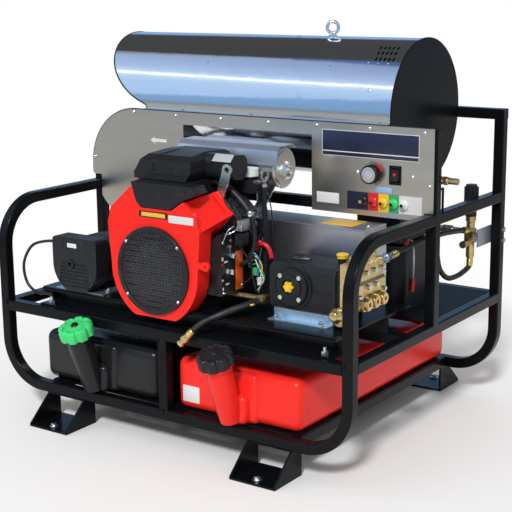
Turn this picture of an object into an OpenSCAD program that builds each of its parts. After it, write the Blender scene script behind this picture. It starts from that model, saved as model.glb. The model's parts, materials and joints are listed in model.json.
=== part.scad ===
// Hot-water pressure washer on a tube skid: petrol V-twin engine, plunger pump,
// belt-driven generator, horizontal heater drum and two fuel tanks.
// Millimetres, +Z up, origin on the floor in the middle of the four feet, front is -Y.

/* [Frame] */
// Overall width over the tube skid
frame_w = 1256; // [1220:4:1300]
// Overall depth over the tube skid
frame_d = 920; // [900:4:960]
// Side of the square frame tube
tube = 32; // [30:1:34]
// Rounded edge of the frame tube
tube_r = 4; // [2:0.5:6]
// Centre-line radius of the tube bends
bend_r = 134; // [120:2:140]
// Height of the feet under the frame
foot_h = 82; // [70:1:90]
// Top of the machine shelf
shelf_z = 351; // [345:1:357]
// Top of the side rails
rail_z = 668; // [660:1:676]
// Top of the rear frame
rear_z = 919; // [915:1:930]

/* [Feet] */
// Width of one foot
foot_w = 148; // [140:1:156]
// Depth of one foot
foot_d = 130; // [124:1:136]
// Centre distance of the feet across the skid
foot_pitch_x = 742; // [736:1:748]
// Centre distance of the outer bolt holes front to back
foot_pitch_y = 1036; // [1030:1:1040]
// Diameter of the foot bolt holes
foot_hole_d = 13; // [11:0.5:15]
// Sheet thickness of the feet
foot_t = 6; // [4:0.5:8]

/* [Tanks] */
// Tank length front to back
tank_d = 860; // [820:4:866]
// Tank height
tank_h = 152; // [140:1:160]
// Rounding of the tank edges
tank_r = 28; // [18:1:34]
// Outer radius of the filler necks at the mouth
neck_r = 40; // [36:0.5:42]
// Forward tilt of the filler necks
neck_tilt = 20; // [18:0.5:22]
// Outer radius of the fuel caps
cap_r = 52; // [48:0.5:54]

/* [Engine] */
// Crankshaft height above the floor
crank_z = 510; // [506:0.5:514]
// Crankshaft radius
crank_r = 15; // [12:0.5:18]
// Radius of the round air screen
screen_r = 126; // [120:0.5:130]
// Radius of the flywheel fan
fan_r = 101; // [92:0.5:104]
// Cylinder bank angle to each side
bank = 45; // [45:1:45]

/* [Drive] */
// Working radius of the engine pulley
engine_pulley_r = 44; // [40:0.5:48]
// Working radius of the crankshaft groove that drives the generator
gen_drive_r = 34; // [30:0.5:36]
// Working radius of the pump pulley
pump_pulley_r = 76; // [72:0.5:78]
// Working radius of the generator pulley
gen_pulley_r = 32; // [30:0.5:36]
// Radial running clearance of shafts in their bores
run_fit = 0.05; // [0.02:0.01:0.1]

/* [Pump] */
// Pump shaft height above the floor
pump_z = 496; // [492:0.5:500]
// Pump shaft radius
pump_shaft_r = 12; // [10:0.5:14]
// Radius of the bearing cover
bearing_r = 53; // [48:0.5:56]

/* [Heater drum] */
// Outer radius of the heater drum
drum_r = 209; // [206:0.5:209]
// Height of the drum axis
drum_z = 928; // [926:0.5:932]
// Sheet thickness of the drum wrap
wrap_t = 2; // [1.5:0.1:3]

/* [Panel] */
// Top edge of the control panel
panel_top = 906; // [904:0.5:907]
// Radius of the rounded upper left panel corner
panel_r = 185; // [150:1:190]
// Radius of the thermostat knob
knob_r = 24; // [20:0.5:27]
// Pitch of the spray nozzles in their holder
nozzle_pitch = 33; // [31:0.5:34]
// Diameter of a spray nozzle collar
nozzle_d = 22; // [18:0.5:26]

/* [Hidden] */
$fn = 48;
hw = frame_w / 2;
hd = frame_d / 2;
post_x = hw - tube / 2;
front_y = -hd + tube / 2;
back_y = hd - tube / 2;
base_z = foot_h + tube / 2;
side_z = rail_z - tube / 2;
shelf_c = shelf_z - tube / 2;
mid_y = 6;
in_x = post_x - tube / 2 - 2;
unl_x = in_x - 29;
bend_x = post_x - bend_r;
bend_z = base_z + bend_r;
top_bend_z = side_z - bend_r;
top_bend_y = front_y + bend_r;
bed_z = shelf_z + 54;
eng_x = -22;
eng_front = -450;
eng_back = -165;
pump_x = 361;
pump_front = -325;
pump_back = -180;
gen_x = -340;
gen_z = 488;
drum_low = drum_z - drum_r;
drum_left = -404;
drum_right = 478;
hood_r = 303;
panel_y = -15;
drum_y = panel_y + 11 + drum_r;
panel_t = 3;
tank_z = foot_h + tube + 2.3;
neck_y = -443;
neck_z = 120;
diesel_x = -265;
petrol_x = -265 + 502.5;
foot_x = foot_pitch_x / 2;
foot_y = hd + 84 - foot_d / 2;
clear = 0.3;
belt_w = 10;

// ---- shared shapes ----

// rounded rectangle, exact arcs
module rounded(w, h, r) {
  square([w - 2 * r, h], center = true);
  square([w, h - 2 * r], center = true);
  for (sx = [-1, 1], sy = [-1, 1])
    translate([sx * (w / 2 - r), sy * (h / 2 - r)])
      circle(r);
}

// square tube section with rounded edges
module section() {
  rounded(tube, tube, tube_r);
}

module run_x(x0, x1, y, z) {
  translate([x0, y, z])
    rotate([90, 0, 90])
      linear_extrude(x1 - x0)
        section();
}

module run_y(y0, y1, x, z) {
  translate([x, y0, z])
    rotate([-90, 0, 0])
      linear_extrude(y1 - y0)
        section();
}

module run_z(z0, z1, x, y) {
  translate([x, y, z0])
    linear_extrude(z1 - z0)
      section();
}

module quarter_bend() {
  rotate_extrude(angle = 90)
    translate([bend_r, 0])
      section();
}

// lower bend from the bottom rail up into a post
module lower_bend(y) {
  translate([bend_x, y, bend_z])
    rotate([90, 0, 0])
      rotate([0, 0, -90])
        quarter_bend();
}

// block given by its limits on each axis
module block(x, y, z) {
  translate([x[0], y[0], z[0]])
    cube([x[1] - x[0], y[1] - y[0], z[1] - z[0]]);
}

// profile drawn in X and Z, extruded from y0 to y1
module along_y(y0, y1) {
  translate([0, y1, 0])
    rotate([90, 0, 0])
      linear_extrude(y1 - y0)
        children();
}

// profile drawn in Y and Z, extruded from x0 to x1
module along_x(x0, x1) {
  translate([x0, 0, 0])
    rotate([90, 0, 90])
      linear_extrude(x1 - x0)
        children();
}

// cylinder along Y
module rod_y(x, z, r, y0, y1) {
  translate([x, y0, z])
    rotate([-90, 0, 0])
      cylinder(r = r, h = y1 - y0);
}

// cylinder along X
module rod_x(y, z, r, x0, x1) {
  translate([x0, y, z])
    rotate([0, 90, 0])
      cylinder(r = r, h = x1 - x0);
}

// cylinder along Z
module rod_z(x, y, r, z0, z1) {
  translate([x, y, z0])
    cylinder(r = r, h = z1 - z0);
}

// ---- swept tubes ----

// point on a smooth curve through the route, s runs 0 to 1 in segment i
function knot(p, i) = p[max(0, min(len(p) - 1, i))];
function spline(p, i, s) =
  0.5 * (2 * knot(p, i)
    + (knot(p, i + 1) - knot(p, i - 1)) * s
    + (2 * knot(p, i - 1) - 5 * knot(p, i) + 4 * knot(p, i + 1) - knot(p, i + 2)) * s * s
    + (3 * knot(p, i) - knot(p, i - 1) - 3 * knot(p, i + 1) + knot(p, i + 2)) * s * s * s);
function sampled(p, n) = concat(
  [for (i = [0 : len(p) - 2], k = [0 : n - 1]) spline(p, i, k / n)],
  [p[len(p) - 1]]);
function unit(v) = v / norm(v);
function heading(q, i) = unit(q[min(len(q) - 1, i + 1)] - q[max(0, i - 1)]);
function ring(q, i, r, side, n) =
  let (t = heading(q, i), u = unit(cross(side, t)), v = cross(t, u))
  [for (k = [0 : n - 1]) q[i] + r * (cos(360 * k / n) * u + sin(360 * k / n) * v)];

// round tube of radius r through the route, side is never along the route
module swept(route, r, side, steps = 3, n = 8) {
  q = sampled(route, steps);
  m = len(q);
  pts = [for (i = [0 : m - 1]) each ring(q, i, r, side, n)];
  skin = [for (i = [0 : m - 2], k = [0 : n - 1])
    [i * n + k, (i + 1) * n + k, (i + 1) * n + (k + 1) % n, i * n + (k + 1) % n]];
  first = [[for (k = [0 : n - 1]) k]];
  last = [[for (k = [0 : n - 1]) (m - 1) * n + n - 1 - k]];
  polyhedron(points = pts, faces = concat(skin, first, last));
}

coil_x = 262;
coil_route = [
  [unl_x - 91, 350, 552], [unl_x - 135, 350, 553], [370, 344, 570], [312, 312, 604], [276, 256, 634], [263, 212, 662],
  [262, 205, 692]];
drain_route = [[258, -334, 444], [244, -368, 438], [200, -425, 420], [150, -462, 392], [118, -482, 356]];
breather_route = [
  [70, -300, 757], [92, -300, 756], [138, -300, 738], [178, -300, 708],
  [203, -298, 676], [212, -290, 615], [206, -298, 556], [172, -306, 528]];
discharge_route = [[540, -104, 560], [541, -40, 566], [556, 40, 576], [unl_x + 1, 140, 580], [unl_x + 2, 240, 572],
  [unl_x, 330, 560]];
bypass_route = [
  [unl_x, 350, 462], [unl_x, 348, 446], [unl_x - 3, 318, 434], [unl_x - 5, 270, 428],
  [unl_x - 9, 215, 434], [unl_x - 15, 176, 470], [unl_x - 20, 162, 530], [unl_x - 20, 130, 590],
  [unl_x - 15, 70, 634], [unl_x - 7, 42, 664], [unl_x - 5, 37, 690]];
cord_route = [
  [-436, -402, 540], [-470, -402, 542], [-540, -402, 520], [-580, -402, 460],
  [-570, -402, 400], [-530, -402, 374], [-490, -402, 376], [-462, -402, 376]];

// places children on the last or first ring of a route, local Z away from the tube
module at_end(route, steps = 2) {
  q = sampled(route, steps);
  m = len(q) - 1;
  aimed(q[m], unit(q[m] - q[m - 1])) children();
}

module at_start(route, steps = 2) {
  q = sampled(route, steps);
  aimed(q[0], unit(q[0] - q[1])) children();
}

module aimed(p, d) {
  translate(p)
    rotate([0, acos(d[2]), atan2(d[1], d[0])])
      children();
}

// ---- skid frame ----

module front_hoop() color([0.06, 0.06, 0.07]) {
  for (side = [0, 1])
    mirror([side, 0, 0]) {
      run_x(0, bend_x, front_y, base_z);
      lower_bend(front_y);
      run_z(bend_z, top_bend_z, post_x, front_y);
      translate([post_x, top_bend_y, top_bend_z])
        rotate([90, 0, 90])
          rotate([0, 0, 90])
            quarter_bend();
      run_y(top_bend_y, mid_y - tube / 2, post_x, side_z);
    }
}

module rear_frame() color([0.06, 0.06, 0.07]) {
  for (side = [0, 1])
    mirror([side, 0, 0]) {
      run_x(0, bend_x, back_y, base_z);
      lower_bend(back_y);
      run_z(bend_z, rear_z, post_x, back_y);
      run_x(0, hw, back_y, rear_z - tube / 2);
    }
}

// mid posts, side rails, the cross rail behind the panel and the shelf frame
module inner_frame() color([0.06, 0.06, 0.07]) {
  run_z(shelf_c, 900, post_x, mid_y);
  run_z(shelf_c, 760, -post_x, mid_y);
  for (side = [-1, 1]) {
    run_y(mid_y, back_y - tube / 2, side * post_x, side_z);
    run_y(front_y + tube / 2, back_y - tube / 2, side * post_x, shelf_c);
  }
  run_x(-post_x, post_x, mid_y, rail_z - 2);
  run_x(-post_x, post_x, -130, shelf_c);
  for (y = [front_y, back_y])
    run_x(-post_x + tube / 2, post_x - tube / 2, y, shelf_c);
  run_z(foot_h + tube, shelf_c, 6, front_y);
  // rod hook behind the right post
  rod_y(post_x + 8, 733, 3.5, mid_y, 46);
  rod_z(post_x + 8, 46, 3.5, side_z, 736.5);
}

// bottom members and the thin sheet the tanks stand on
module tank_tray() color([0.07, 0.07, 0.08]) {
  for (x = [-437, 6, 437])
    run_y(front_y + tube / 2, back_y - tube / 2, x, base_z);
  block([-453, 453], [front_y + tube / 2, back_y - tube / 2], [foot_h + tube, tank_z - clear]);
}

module foot() {
  difference() {
    block([-foot_w / 2, foot_w / 2], [-foot_d / 2, foot_d / 2], [0, foot_t]);
    translate([0, foot_pitch_y / 2 - foot_y, 0])
      cylinder(d = foot_hole_d, h = 3 * foot_t, center = true);
    translate([0, foot_pitch_y / 2 - foot_y - 23, 0])
      cylinder(d = foot_hole_d, h = 3 * foot_t, center = true);
  }
  for (side = [0, 1])
    mirror([side, 0, 0])
      along_x(foot_w / 2 - foot_t, foot_w / 2)
        polygon([[-foot_d / 2, 0], [foot_d / 2, 0], [foot_d / 2, 8],
          [-foot_d / 2 + 48, foot_h], [-foot_d / 2, foot_h]]);
}

module feet() color([0.06, 0.06, 0.07]) {
  for (sx = [-1, 1], sy = [0, 1])
    mirror([0, sy, 0])
      translate([sx * foot_x, foot_y, 0])
        foot();
}

module deck_plate() color([0.07, 0.08, 0.1]) {
  block([-post_x + tube / 2, post_x - tube / 2], [22, back_y - tube / 2], [shelf_z - 4, shelf_z]);
}

// two channels on the shelf rails and the plate bolted across them
module engine_bed() color([0.06, 0.06, 0.07]) {
  along_x(-480, 560)
    polygon([[-440, shelf_z], [-387, shelf_z], [-387, shelf_z + 50], [-430, shelf_z + 50],
      [-430, shelf_z + 45], [-392, shelf_z + 45], [-392, shelf_z + 5], [-440, shelf_z + 5]]);
  along_x(-480, 560)
    polygon([[-153, shelf_z], [-105, shelf_z], [-105, shelf_z + 5], [-148, shelf_z + 5],
      [-148, shelf_z + 45], [-105, shelf_z + 45], [-105, shelf_z + 50], [-153, shelf_z + 50]]);
  block([-480, 560], [-425, -25], [shelf_z + 50, bed_z]);
  block([-461, -453], [-412, -392], [shelf_z + 14, shelf_z + 36]);
}

// ---- engine ----

// frame of one cylinder bank: local Z runs out along the cylinder
module bank_frame(side) {
  translate([eng_x, 0, crank_z])
    rotate([0, side * bank, 0])
      children();
}

module block_profile() {
  polygon([[-108, bed_z + 15], [64, bed_z + 15], [64, 452], [84, 470], [84, 538.3], [6.3, 616],
    [-50.3, 616], [-128, 538.3], [-128, 470], [-108, 452]]);
}

module engine_block() color([0.09, 0.09, 0.1]) {
  difference() {
    union() {
      along_y(-385, eng_back) block_profile();
      block([-128, 84], [-380, -190], [bed_z, bed_z + 15]);
      rod_y(eng_x, crank_z, 86, -393, -385);
      rod_y(eng_x, crank_z, 60, eng_back, eng_back + 8);
      for (x = [-96, -72, -48, 4, 28, 52])
        block([x - 3, x + 3], [eng_back, eng_back + 5], [440, 480]);
      rod_y(24, 452, 30, -396, -385);
      // dipstick tube with its foot on the side of the block
      rod_x(-232, 500, 9, 84, 206);
      rod_z(206, -232, 9, 491, 520);
      rod_z(206, -232, 6.5, 520, 742);
      rod_z(206, -232, 8.5, 734, 742);
      rod_x(-250, 470, 26, 84, 96);
    }
    rod_y(eng_x, crank_z, crank_r + run_fit, -400, -150);
    rod_x(-250, 470, 15, 88, 100);
    rod_z(206, -232, 4, 516, 750);
  }
}

// oil dipstick with a ring handle
module dipstick() color([0.75, 0.76, 0.78]) {
  rod_z(206, -232, 3.6, 530, 750);
  rod_z(206, -232, 8.5, 742 + clear, 750);
  difference() {
    rod_x(-232, 774, 19, 203, 209);
    rod_x(-232, 774, 12, 200, 212);
  }
  block([203, 209], [-236, -228], [748, 760]);
}

module cylinder_heads() color([0.72, 0.73, 0.74]) {
  for (side = [-1, 1])
    bank_frame(side) {
      translate([0, -275, 95])
        linear_extrude(8) rounded(92, 108, 12);
      rod_z(0, -275, 40, 103, 190);
      for (k = [0 : 7])
        translate([0, -275, 108 + 10 * k])
          linear_extrude(4) rounded(104, 118, 14);
      translate([0, -275, 186])
        linear_extrude(38) rounded(108, 120, 16);
      translate([0, -275, 224])
        linear_extrude(26) rounded(92, 104, 20);
      translate([0, -275, 250])
        linear_extrude(10) rounded(72, 84, 14);
      for (x = [-24, 0, 24])
        block([x - 3, x + 3], [-311, -239], [260, 263]);
    }
}

module cover_outline() {
  difference() {
    translate([eng_x, crank_z + 6]) circle(154);
    translate([eng_x - 200, 300]) square([400, 80]);
  }
  polygon([[eng_x - 153, crank_z], [eng_x - 164, 640], [eng_x - 152, 684], [eng_x - 78, 748],
    [eng_x + 78, 748], [eng_x + 152, 684], [eng_x + 164, 640], [eng_x + 153, crank_z]]);
}

// swept-back ear over one cylinder, drawn in radius and depth
module cover_ear(side) {
  bank_frame(side)
    translate([side > 0 ? 24 : 79, 0, 0])
      rotate([0, -90, 0])
        linear_extrude(103)
          polygon([[120, -428], [168, eng_front + 4], [214, -440], [266, -351], [268, -344], [120, -344]]);
}

module fan_cover() color([0.8, 0.04, 0.04]) {
  difference() {
    union() {
      along_y(eng_front, -432) cover_outline();
      intersection() {
        along_y(-432, -396) cover_outline();
        block([-300, 300], [-432, -396], [bed_z + 2, 800]);
      }
      cover_ear(1);
      cover_ear(-1);
      rod_y(eng_x + 180, 549, 13, eng_front, eng_front + 8);
      block([eng_x + 140, eng_x + 180], [eng_front, eng_front + 8], [540, 558]);
    }
    rod_y(eng_x, crank_z + 6, screen_r - 8, eng_front - 10, eng_front + 8);
    rod_y(eng_x, crank_z, fan_r + 8, eng_front - 2, -390);
    // opening for the carburettor side between the banks
    along_y(eng_front - 2, -340)
      polygon([[-97, 800], [-97, 764], [-80, 710], [-63, 692.5], [45, 692.5],
        [85.5, 719.5], [131, 742], [131, 800]]);
    // room for the carburettor housing between the ears
    along_y(-396.4, -338)
      polygon([[-114, 768], [72, 768], [72, 699], [53, 688.5], [-5, 614.5], [-39, 614.5],
        [-97, 688.5], [-114, 699]]);
    // recessed field of each ear
    for (side = [-1, 1])
      bank_frame(side)
        translate([side > 0 ? 10 : 66, 0, 0])
          rotate([0, -90, 0])
            linear_extrude(76)
              polygon([[232, -442], [270, -376], [253, -354], [214, -422]]);
    for (k = [0 : 3])
      bank_frame(-1)
        block([4 + 14 * k, 11 + 14 * k], [-430, -340], [228, 252]);
    rod_y(eng_x + 180, 549, 4, eng_front - 2, eng_front + 9);
  }
}

// round air screen with its rim and bars
module fan_screen() color([0.05, 0.05, 0.05]) {
  translate([eng_x, eng_front - 8, crank_z + 6])
    rotate([-90, 0, 0]) {
      difference() {
        union() {
          cylinder(r = screen_r, h = 8);
          translate([0, 0, 8])
            cylinder(r = screen_r - 8 - clear, h = 4);
        }
        translate([0, 0, -1])
          cylinder(r = screen_r - 14, h = 20);
      }
      difference() {
        translate([0, 0, 2])
          cylinder(r = screen_r - 10, h = 3);
        intersection() {
          union() {
            for (x = [-11 : 11])
              translate([x * 10, 0, 0])
                cube([6, 400, 20], center = true);
          }
          difference() {
            cylinder(r = screen_r - 18, h = 20, center = true);
            for (y = [-3 : 3])
              translate([0, y * 32, 0])
                cube([400, 4, 30], center = true);
          }
        }
      }
    }
}

module groove(x, z, r, y) {
  difference() {
    rod_y(x, z, r + 12, y - belt_w / 2, y + belt_w / 2);
    rod_y(x, z, r, y - belt_w, y + belt_w);
  }
}

module pulley(x, z, r, y0, y1, belts) {
  difference() {
    rod_y(x, z, r + 8, y0, y1);
    for (y = belts)
      groove(x, z, r, y);
  }
}

// flywheel fan, crankshaft and engine pulley turn together
module crank_rotor() color([0.35, 0.36, 0.38]) {
  rod_y(eng_x, crank_z, crank_r, -426, -32);
  rod_y(eng_x, crank_z, fan_r, -408, -402);
  rod_y(eng_x, crank_z, 38, -428, -402);
  for (a = [0 : 30 : 330])
    translate([eng_x, 0, crank_z])
      rotate([0, a, 0])
        block([-3, 3], [-428, -406], [62, fan_r - 4]);
  pulley(eng_x, crank_z, engine_pulley_r, -98, -58, [-88, -68]);
  pulley(eng_x, crank_z, gen_drive_r, -130, -110, [-120]);
  rod_y(eng_x, crank_z, 26, -136, -50);
}

module air_cleaner() color([0.07, 0.07, 0.08]) {
  intersection() {
    along_y(-405, -195)
      polygon([[-120, 766], [60, 766], [78, 790], [76, 822], [58, 840], [-80, 840], [-98, 822], [-122, 782]]);
    along_x(-130, 90)
      polygon([[-405, 760], [-402, 820], [-378, 834], [-300, 841], [-215, 836], [-195, 820], [-195, 760]]);
  }
  along_x(70, 172)
    translate([-300, 803])
      rounded(72, 68, 26);
  translate([134, -328, 829])
    rotate([-45, 0, 0])
      cube([70, 3, 30], center = true);
}

// flat lifting hook bolted to the right cylinder head
module engine_hook() color([0.6, 0.65, 0.7]) {
  difference() {
    along_y(-341, -336 - clear) {
      polygon([[97, 658], [122, 658], [170, 794], [143, 806]]);
      translate([156, 800]) circle(16);
    }
    rod_y(156, 800, 8, -345, -330);
  }
  rod_y(109, 669, 9, -338, -335.2);
  translate([109, -341, 669])
    rotate([90, 0, 0])
      hex_head(13, 2.5);
}

// carburettor housing between the banks with the plain front shield
module intake_housing() color([0.06, 0.06, 0.07]) {
  along_y(eng_front - 3, -394)
    polygon([[-94, 764], [118, 764], [128, 744], [84, 722], [44, 695], [-62, 695], [-78, 711]]);
  along_y(-396, -200)
    polygon([[-112, 766], [70, 766], [70, 700], [52, 690], [-6, 616.3], [-38, 616.3], [-96, 690], [-112, 700]]);
  // small tank beside the air cleaner
  along_y(-262, -197)
    polygon([[60, 704], [92, 704], [106, 726], [190, 726], [196, 732], [196, 752], [188, 761],
      [106, 761], [92, 752], [60, 752]]);
  rod_z(154, -228, 17, 756, 776);
}

module filler_cap() color([0.85, 0.87, 0.85]) {
  difference() {
    rod_z(154, -228, 25, 769, 791);
    rod_z(154, -228, 17.4, 760, 776 + clear);
    for (a = [0 : 30 : 330])
      translate([154, -228, 775])
        rotate([0, 0, a])
          translate([26.6, 0, 0])
            cylinder(r = 2.6, h = 30, center = true);
  }
}

// control box on the right side of the engine
module engine_panel() color([0.08, 0.08, 0.09]) {
  difference() {
    along_y(-392, -344)
      polygon([[84, 455], [172, 455], [172, 620], [158, 628], [84, 554]]);
    rod_x(-372, 524, 4 + run_fit, 150, 180);
    rod_x(-356, 590, 3 + run_fit, 150, 180);
  }
  along_y(-344, -286)
    polygon([[84, 455], [172, 455], [172, 606], [84, 520]]);
  along_x(172, 174)
    translate([-320, 540])
      square([18, 62], center = true);
  along_x(172, 175)
    translate([-372, 524])
      difference() {
        circle(14);
        circle(8);
      }
}

module key_switch() color([0.75, 0.76, 0.78]) {
  rod_x(-372, 524, 4, 152, 178);
  rod_x(-372, 524, 7.5, 172 + clear, 178);
  block([178, 198], [-373.2, -370.8], [517, 531]);
}

module choke_lever() color([0.75, 0.76, 0.78]) {
  rod_x(-356, 590, 3, 152, 177);
  rod_x(-356, 590, 6, 172 + clear, 176);
  block([173, 176], [-359, -353], [566, 592]);
  rod_x(-356, 566, 6, 172 + clear, 180);
}

module muffler() color([0.55, 0.55, 0.56]) {
  difference() {
    union() {
      rod_x(-130, 782, 56, -150, 205);
      rod_x(-130, 782, 50, -156, 211);
      rod_x(-130, 782, 58, -148, -144);
      rod_x(-130, 782, 58, 200, 204);
      rod_x(-130, 774, 14, 205, 232);
      rod_x(-130, 774, 20, 205, 214);
      // exhaust pipes from both heads
      for (p = [[-164, -122], [120, 126]]) {
        rod_y(p[0], 655, 14, -215, -130);
        translate([p[0], -130, 655])
          sphere(14);
        rod_x(-130, 655, 14, p[0], p[1]);
        translate([p[1], -130, 655])
          sphere(14);
        rod_z(p[1], -130, 14, 655, 740);
      }
      along_y(-160, -156)
        polygon([[110, 648], [146, 648], [196, 736], [196, 760], [160, 760], [160, 736]]);
    }
    rod_x(-130, 774, 10, 215, 240);
  }
}

module muffler_shield() color([0.72, 0.73, 0.75]) {
  along_x(-130, 222)
    polygon([[-194, 796], [-190, 838], [-172, 850], [-108, 850], [-92, 838], [-94, 837],
      [-109, 848], [-171, 848], [-188, 837], [-192, 796]]);
  for (x = [-90, 150])
    rod_z(x, -130, 5, 838.2, 848);
}

module engine_hoses() color([0.05, 0.05, 0.05]) {
  swept(drain_route, 8, [0, 0, 1], 2);
  swept(breather_route, 7, [0, 1, 0], 2);
}

// brass end of the oil drain hose, tipped over the front rail
module drain_fitting() color([0.75, 0.6, 0.25]) {
  at_end(drain_route) {
    cylinder(r = 9.5, h = 8);
    translate([0, 0, 8])
      cylinder(r = 11, h = 10, $fn = 6);
    translate([0, 0, 18])
      cylinder(r = 8, h = 8);
    translate([0, 0, 26])
      cylinder(r = 10, h = 8, $fn = 6);
  }
  at_start(drain_route)
    cylinder(r = 9.5, h = 14);
  // pipe and elbow from the side of the crankcase
  block([246, 268], [-324, -302], [434, 454]);
  rod_x(-313, 444, 8, 64, 250);
}

// ---- belt drive ----

guard_x0 = -110;
guard_x1 = 480;
guard_z = 631;

module belt_guard() color([0.72, 0.73, 0.75]) {
  difference() {
    union() {
      block([guard_x0, guard_x1], [-150, -22], [bed_z, guard_z]);
      block([-400, guard_x0 + 1], [-150, -22], [bed_z, 549]);
    }
    block([guard_x0 + 2, guard_x1 - 2], [-148, -24], [bed_z - 1, guard_z - 2]);
    block([-398, guard_x0 + 5], [-148, -24], [bed_z - 1, 547]);
    rod_y(eng_x, crank_z, crank_r + 6, -152, -146);
    rod_y(pump_x, pump_z, pump_shaft_r + 6, -152, -146);
    rod_y(gen_x, gen_z, 18, -152, -146);
    for (k = [0 : 9])
      block([120 + 30 * k, 138 + 30 * k], [-30, 0], [560, 600]);
  }
  block([guard_x1 - 16, guard_x1], [-150, -22], [bed_z, bed_z + 2]);
}

// one belt loop around two pulleys
module belt(xa, za, ra, xb, zb, rb, y) {
  along_y(y - belt_w / 2 + 0.5, y + belt_w / 2 - 0.5)
    difference() {
      hull() {
        translate([xa, za]) circle(ra + 7, $fn = 64);
        translate([xb, zb]) circle(rb + 7, $fn = 64);
      }
      hull() {
        translate([xa, za]) circle(ra + 0.6, $fn = 64);
        translate([xb, zb]) circle(rb + 0.6, $fn = 64);
      }
    }
}

module drive_belts() color([0.05, 0.05, 0.05]) {
  belt(eng_x, crank_z, engine_pulley_r, pump_x, pump_z, pump_pulley_r, -88);
  belt(eng_x, crank_z, engine_pulley_r, pump_x, pump_z, pump_pulley_r, -68);
  belt(eng_x, crank_z, gen_drive_r, gen_x, gen_z, gen_pulley_r, -120);
}

module pump_pulley() color([0.3, 0.31, 0.33]) {
  rod_y(pump_x, pump_z, pump_shaft_r, -205, -34);
  difference() {
    pulley(pump_x, pump_z, pump_pulley_r, -98, -58, [-88, -68]);
    for (a = [45 : 90 : 315])
      translate([pump_x, 0, pump_z])
        rotate([0, a, 0])
          rod_y(0, 46, 17, -100, -50);
  }
  rod_y(pump_x, pump_z, 26, -104, -50);
}

module generator_pulley() color([0.3, 0.31, 0.33]) {
  rod_y(gen_x, gen_z, 9, -215, -104);
  pulley(gen_x, gen_z, gen_pulley_r, -130, -110, [-120]);
  rod_y(gen_x, gen_z, 18, -136, -104);
}

// ---- pump ----

module pump_crankcase() color([0.09, 0.09, 0.1]) {
  difference() {
    union() {
      intersection() {
        along_y(pump_front, pump_back)
          translate([390, 494.5]) rounded(210, 125, 14);
        along_x(280, 500)
          polygon([[-325, 432], [-325, 540], [-312, 557], [-200, 557], [-180, 545], [-180, 432]]);
      }
      rod_y(pump_x, pump_z, 62, pump_front - 5, pump_front + 10);
      block([298, 482], [pump_front - 3, pump_front], [440, 446]);
      block([430, 482], [pump_front - 3, pump_front], [486, 492]);
      block([495, 508], [-318, -186], [452, 548]);
      rod_y(pump_x, pump_z, 50, pump_back, pump_back + 6);
      rod_z(466, -240, 11, 550, 571);
      block([320, 372], [-270, -246], [556, 560]);
      for (k = [0 : 2])
        block([496, 508], [-304 + 42 * k, -284 + 42 * k], [548, 556]);
    }
    rod_y(pump_x, pump_z, pump_shaft_r + run_fit, -210, -160);
    rod_z(466, -240, 7, 560, 580);
  }
}

module bearing_cover() color([0.1, 0.1, 0.11]) {
  difference() {
    union() {
      rod_y(pump_x, pump_z, bearing_r, pump_front - 12, pump_front - 5);
      rod_y(pump_x, pump_z, 34, pump_front - 16, pump_front - 12);
    }
    rod_y(pump_x - 4, pump_z + 1, 21, pump_front - 20, pump_front - 12);
  }
}

// six-lobed oil level window
module sight_glass() color([0.95, 0.65, 0.05]) {
  translate([pump_x - 4, pump_front - 12, pump_z + 1])
    rotate([90, 0, 0]) {
      cylinder(r = 11, h = 9);
      for (a = [0 : 60 : 300])
        rotate([0, 0, a])
          translate([11, 0, 0])
            cylinder(r = 4.5, h = 7);
    }
}

module pump_oil_cap() color([0.92, 0.85, 0.2]) {
  rod_z(466, -240, 15, 571 + clear, 581);
  rod_z(466, -240, 7 - run_fit, 562, 572);
}

module pump_manifold() color([0.78, 0.6, 0.24]) {
  along_y(-322, -178)
    polygon([[508, 448], [556, 448], [564, 458], [564, 520], [558, 528], [558, 566], [550, 574], [508, 574]]);
  for (y = [-292, -250, -208]) {
    rod_z(533, y, 20, 574, 580);
    rod_x(y, 468, 20, 560, 570);
  }
  rod_y(532, 448, 19, -352, -322);
  translate([532, -352, 448])
    sphere(19);
  rod_z(532, -352, 17, 424, 448);
  rod_z(532, -352, 20, 420, 428);
  rod_y(540, 560, 12, -178, -172);
}

// hexagon-socket caps over the six valves
module valve_caps() color([0.8, 0.64, 0.3]) {
  for (y = [-292, -250, -208]) {
    difference() {
      union() {
        rod_z(533, y, 17, 580, 590);
        rod_z(533, y, 15, 590, 593);
      }
      translate([533, y, 586])
        cylinder(r = 7, h = 10, $fn = 6);
    }
    difference() {
      union() {
        rod_x(y, 468, 17, 570, 580);
        rod_x(y, 468, 15, 580, 583);
      }
      translate([576, y, 468])
        rotate([0, 90, 0])
          cylinder(r = 7, h = 10, $fn = 6);
    }
  }
}

// zinc plated mounts under the pump and the generator
module machine_feet() color([0.7, 0.75, 0.8]) {
  along_x(304, 492)
    polygon([[-364, bed_z], [-329, bed_z], [-329, 429], [-292, 429], [-292, 432], [-332, 432],
      [-332, bed_z + 3], [-364, bed_z + 3]]);
  along_x(304, 492)
    polygon([[-153, bed_z], [-176, bed_z], [-176, 429], [-213, 429], [-213, 432], [-173, 432],
      [-173, bed_z + 3], [-153, bed_z + 3]]);
  block([-432, -244], [-418, -196], [bed_z, bed_z + 3]);
}

module discharge_fitting() color([0.68, 0.72, 0.76]) {
  translate([540, -172, 560])
    rotate([-90, 0, 0]) {
      cylinder(r = 15, h = 14, $fn = 6);
      translate([0, 0, 14])
        cylinder(r = 10, h = 22);
      translate([0, 0, 36])
        cylinder(r = 14, h = 14, $fn = 6);
      translate([0, 0, 50])
        cylinder(r = 10.5, h = 17.9);
    }
  rod_z(540, -148, 6, 532, 552);
  rod_z(540, -148, 9, 524, 532);
}

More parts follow.
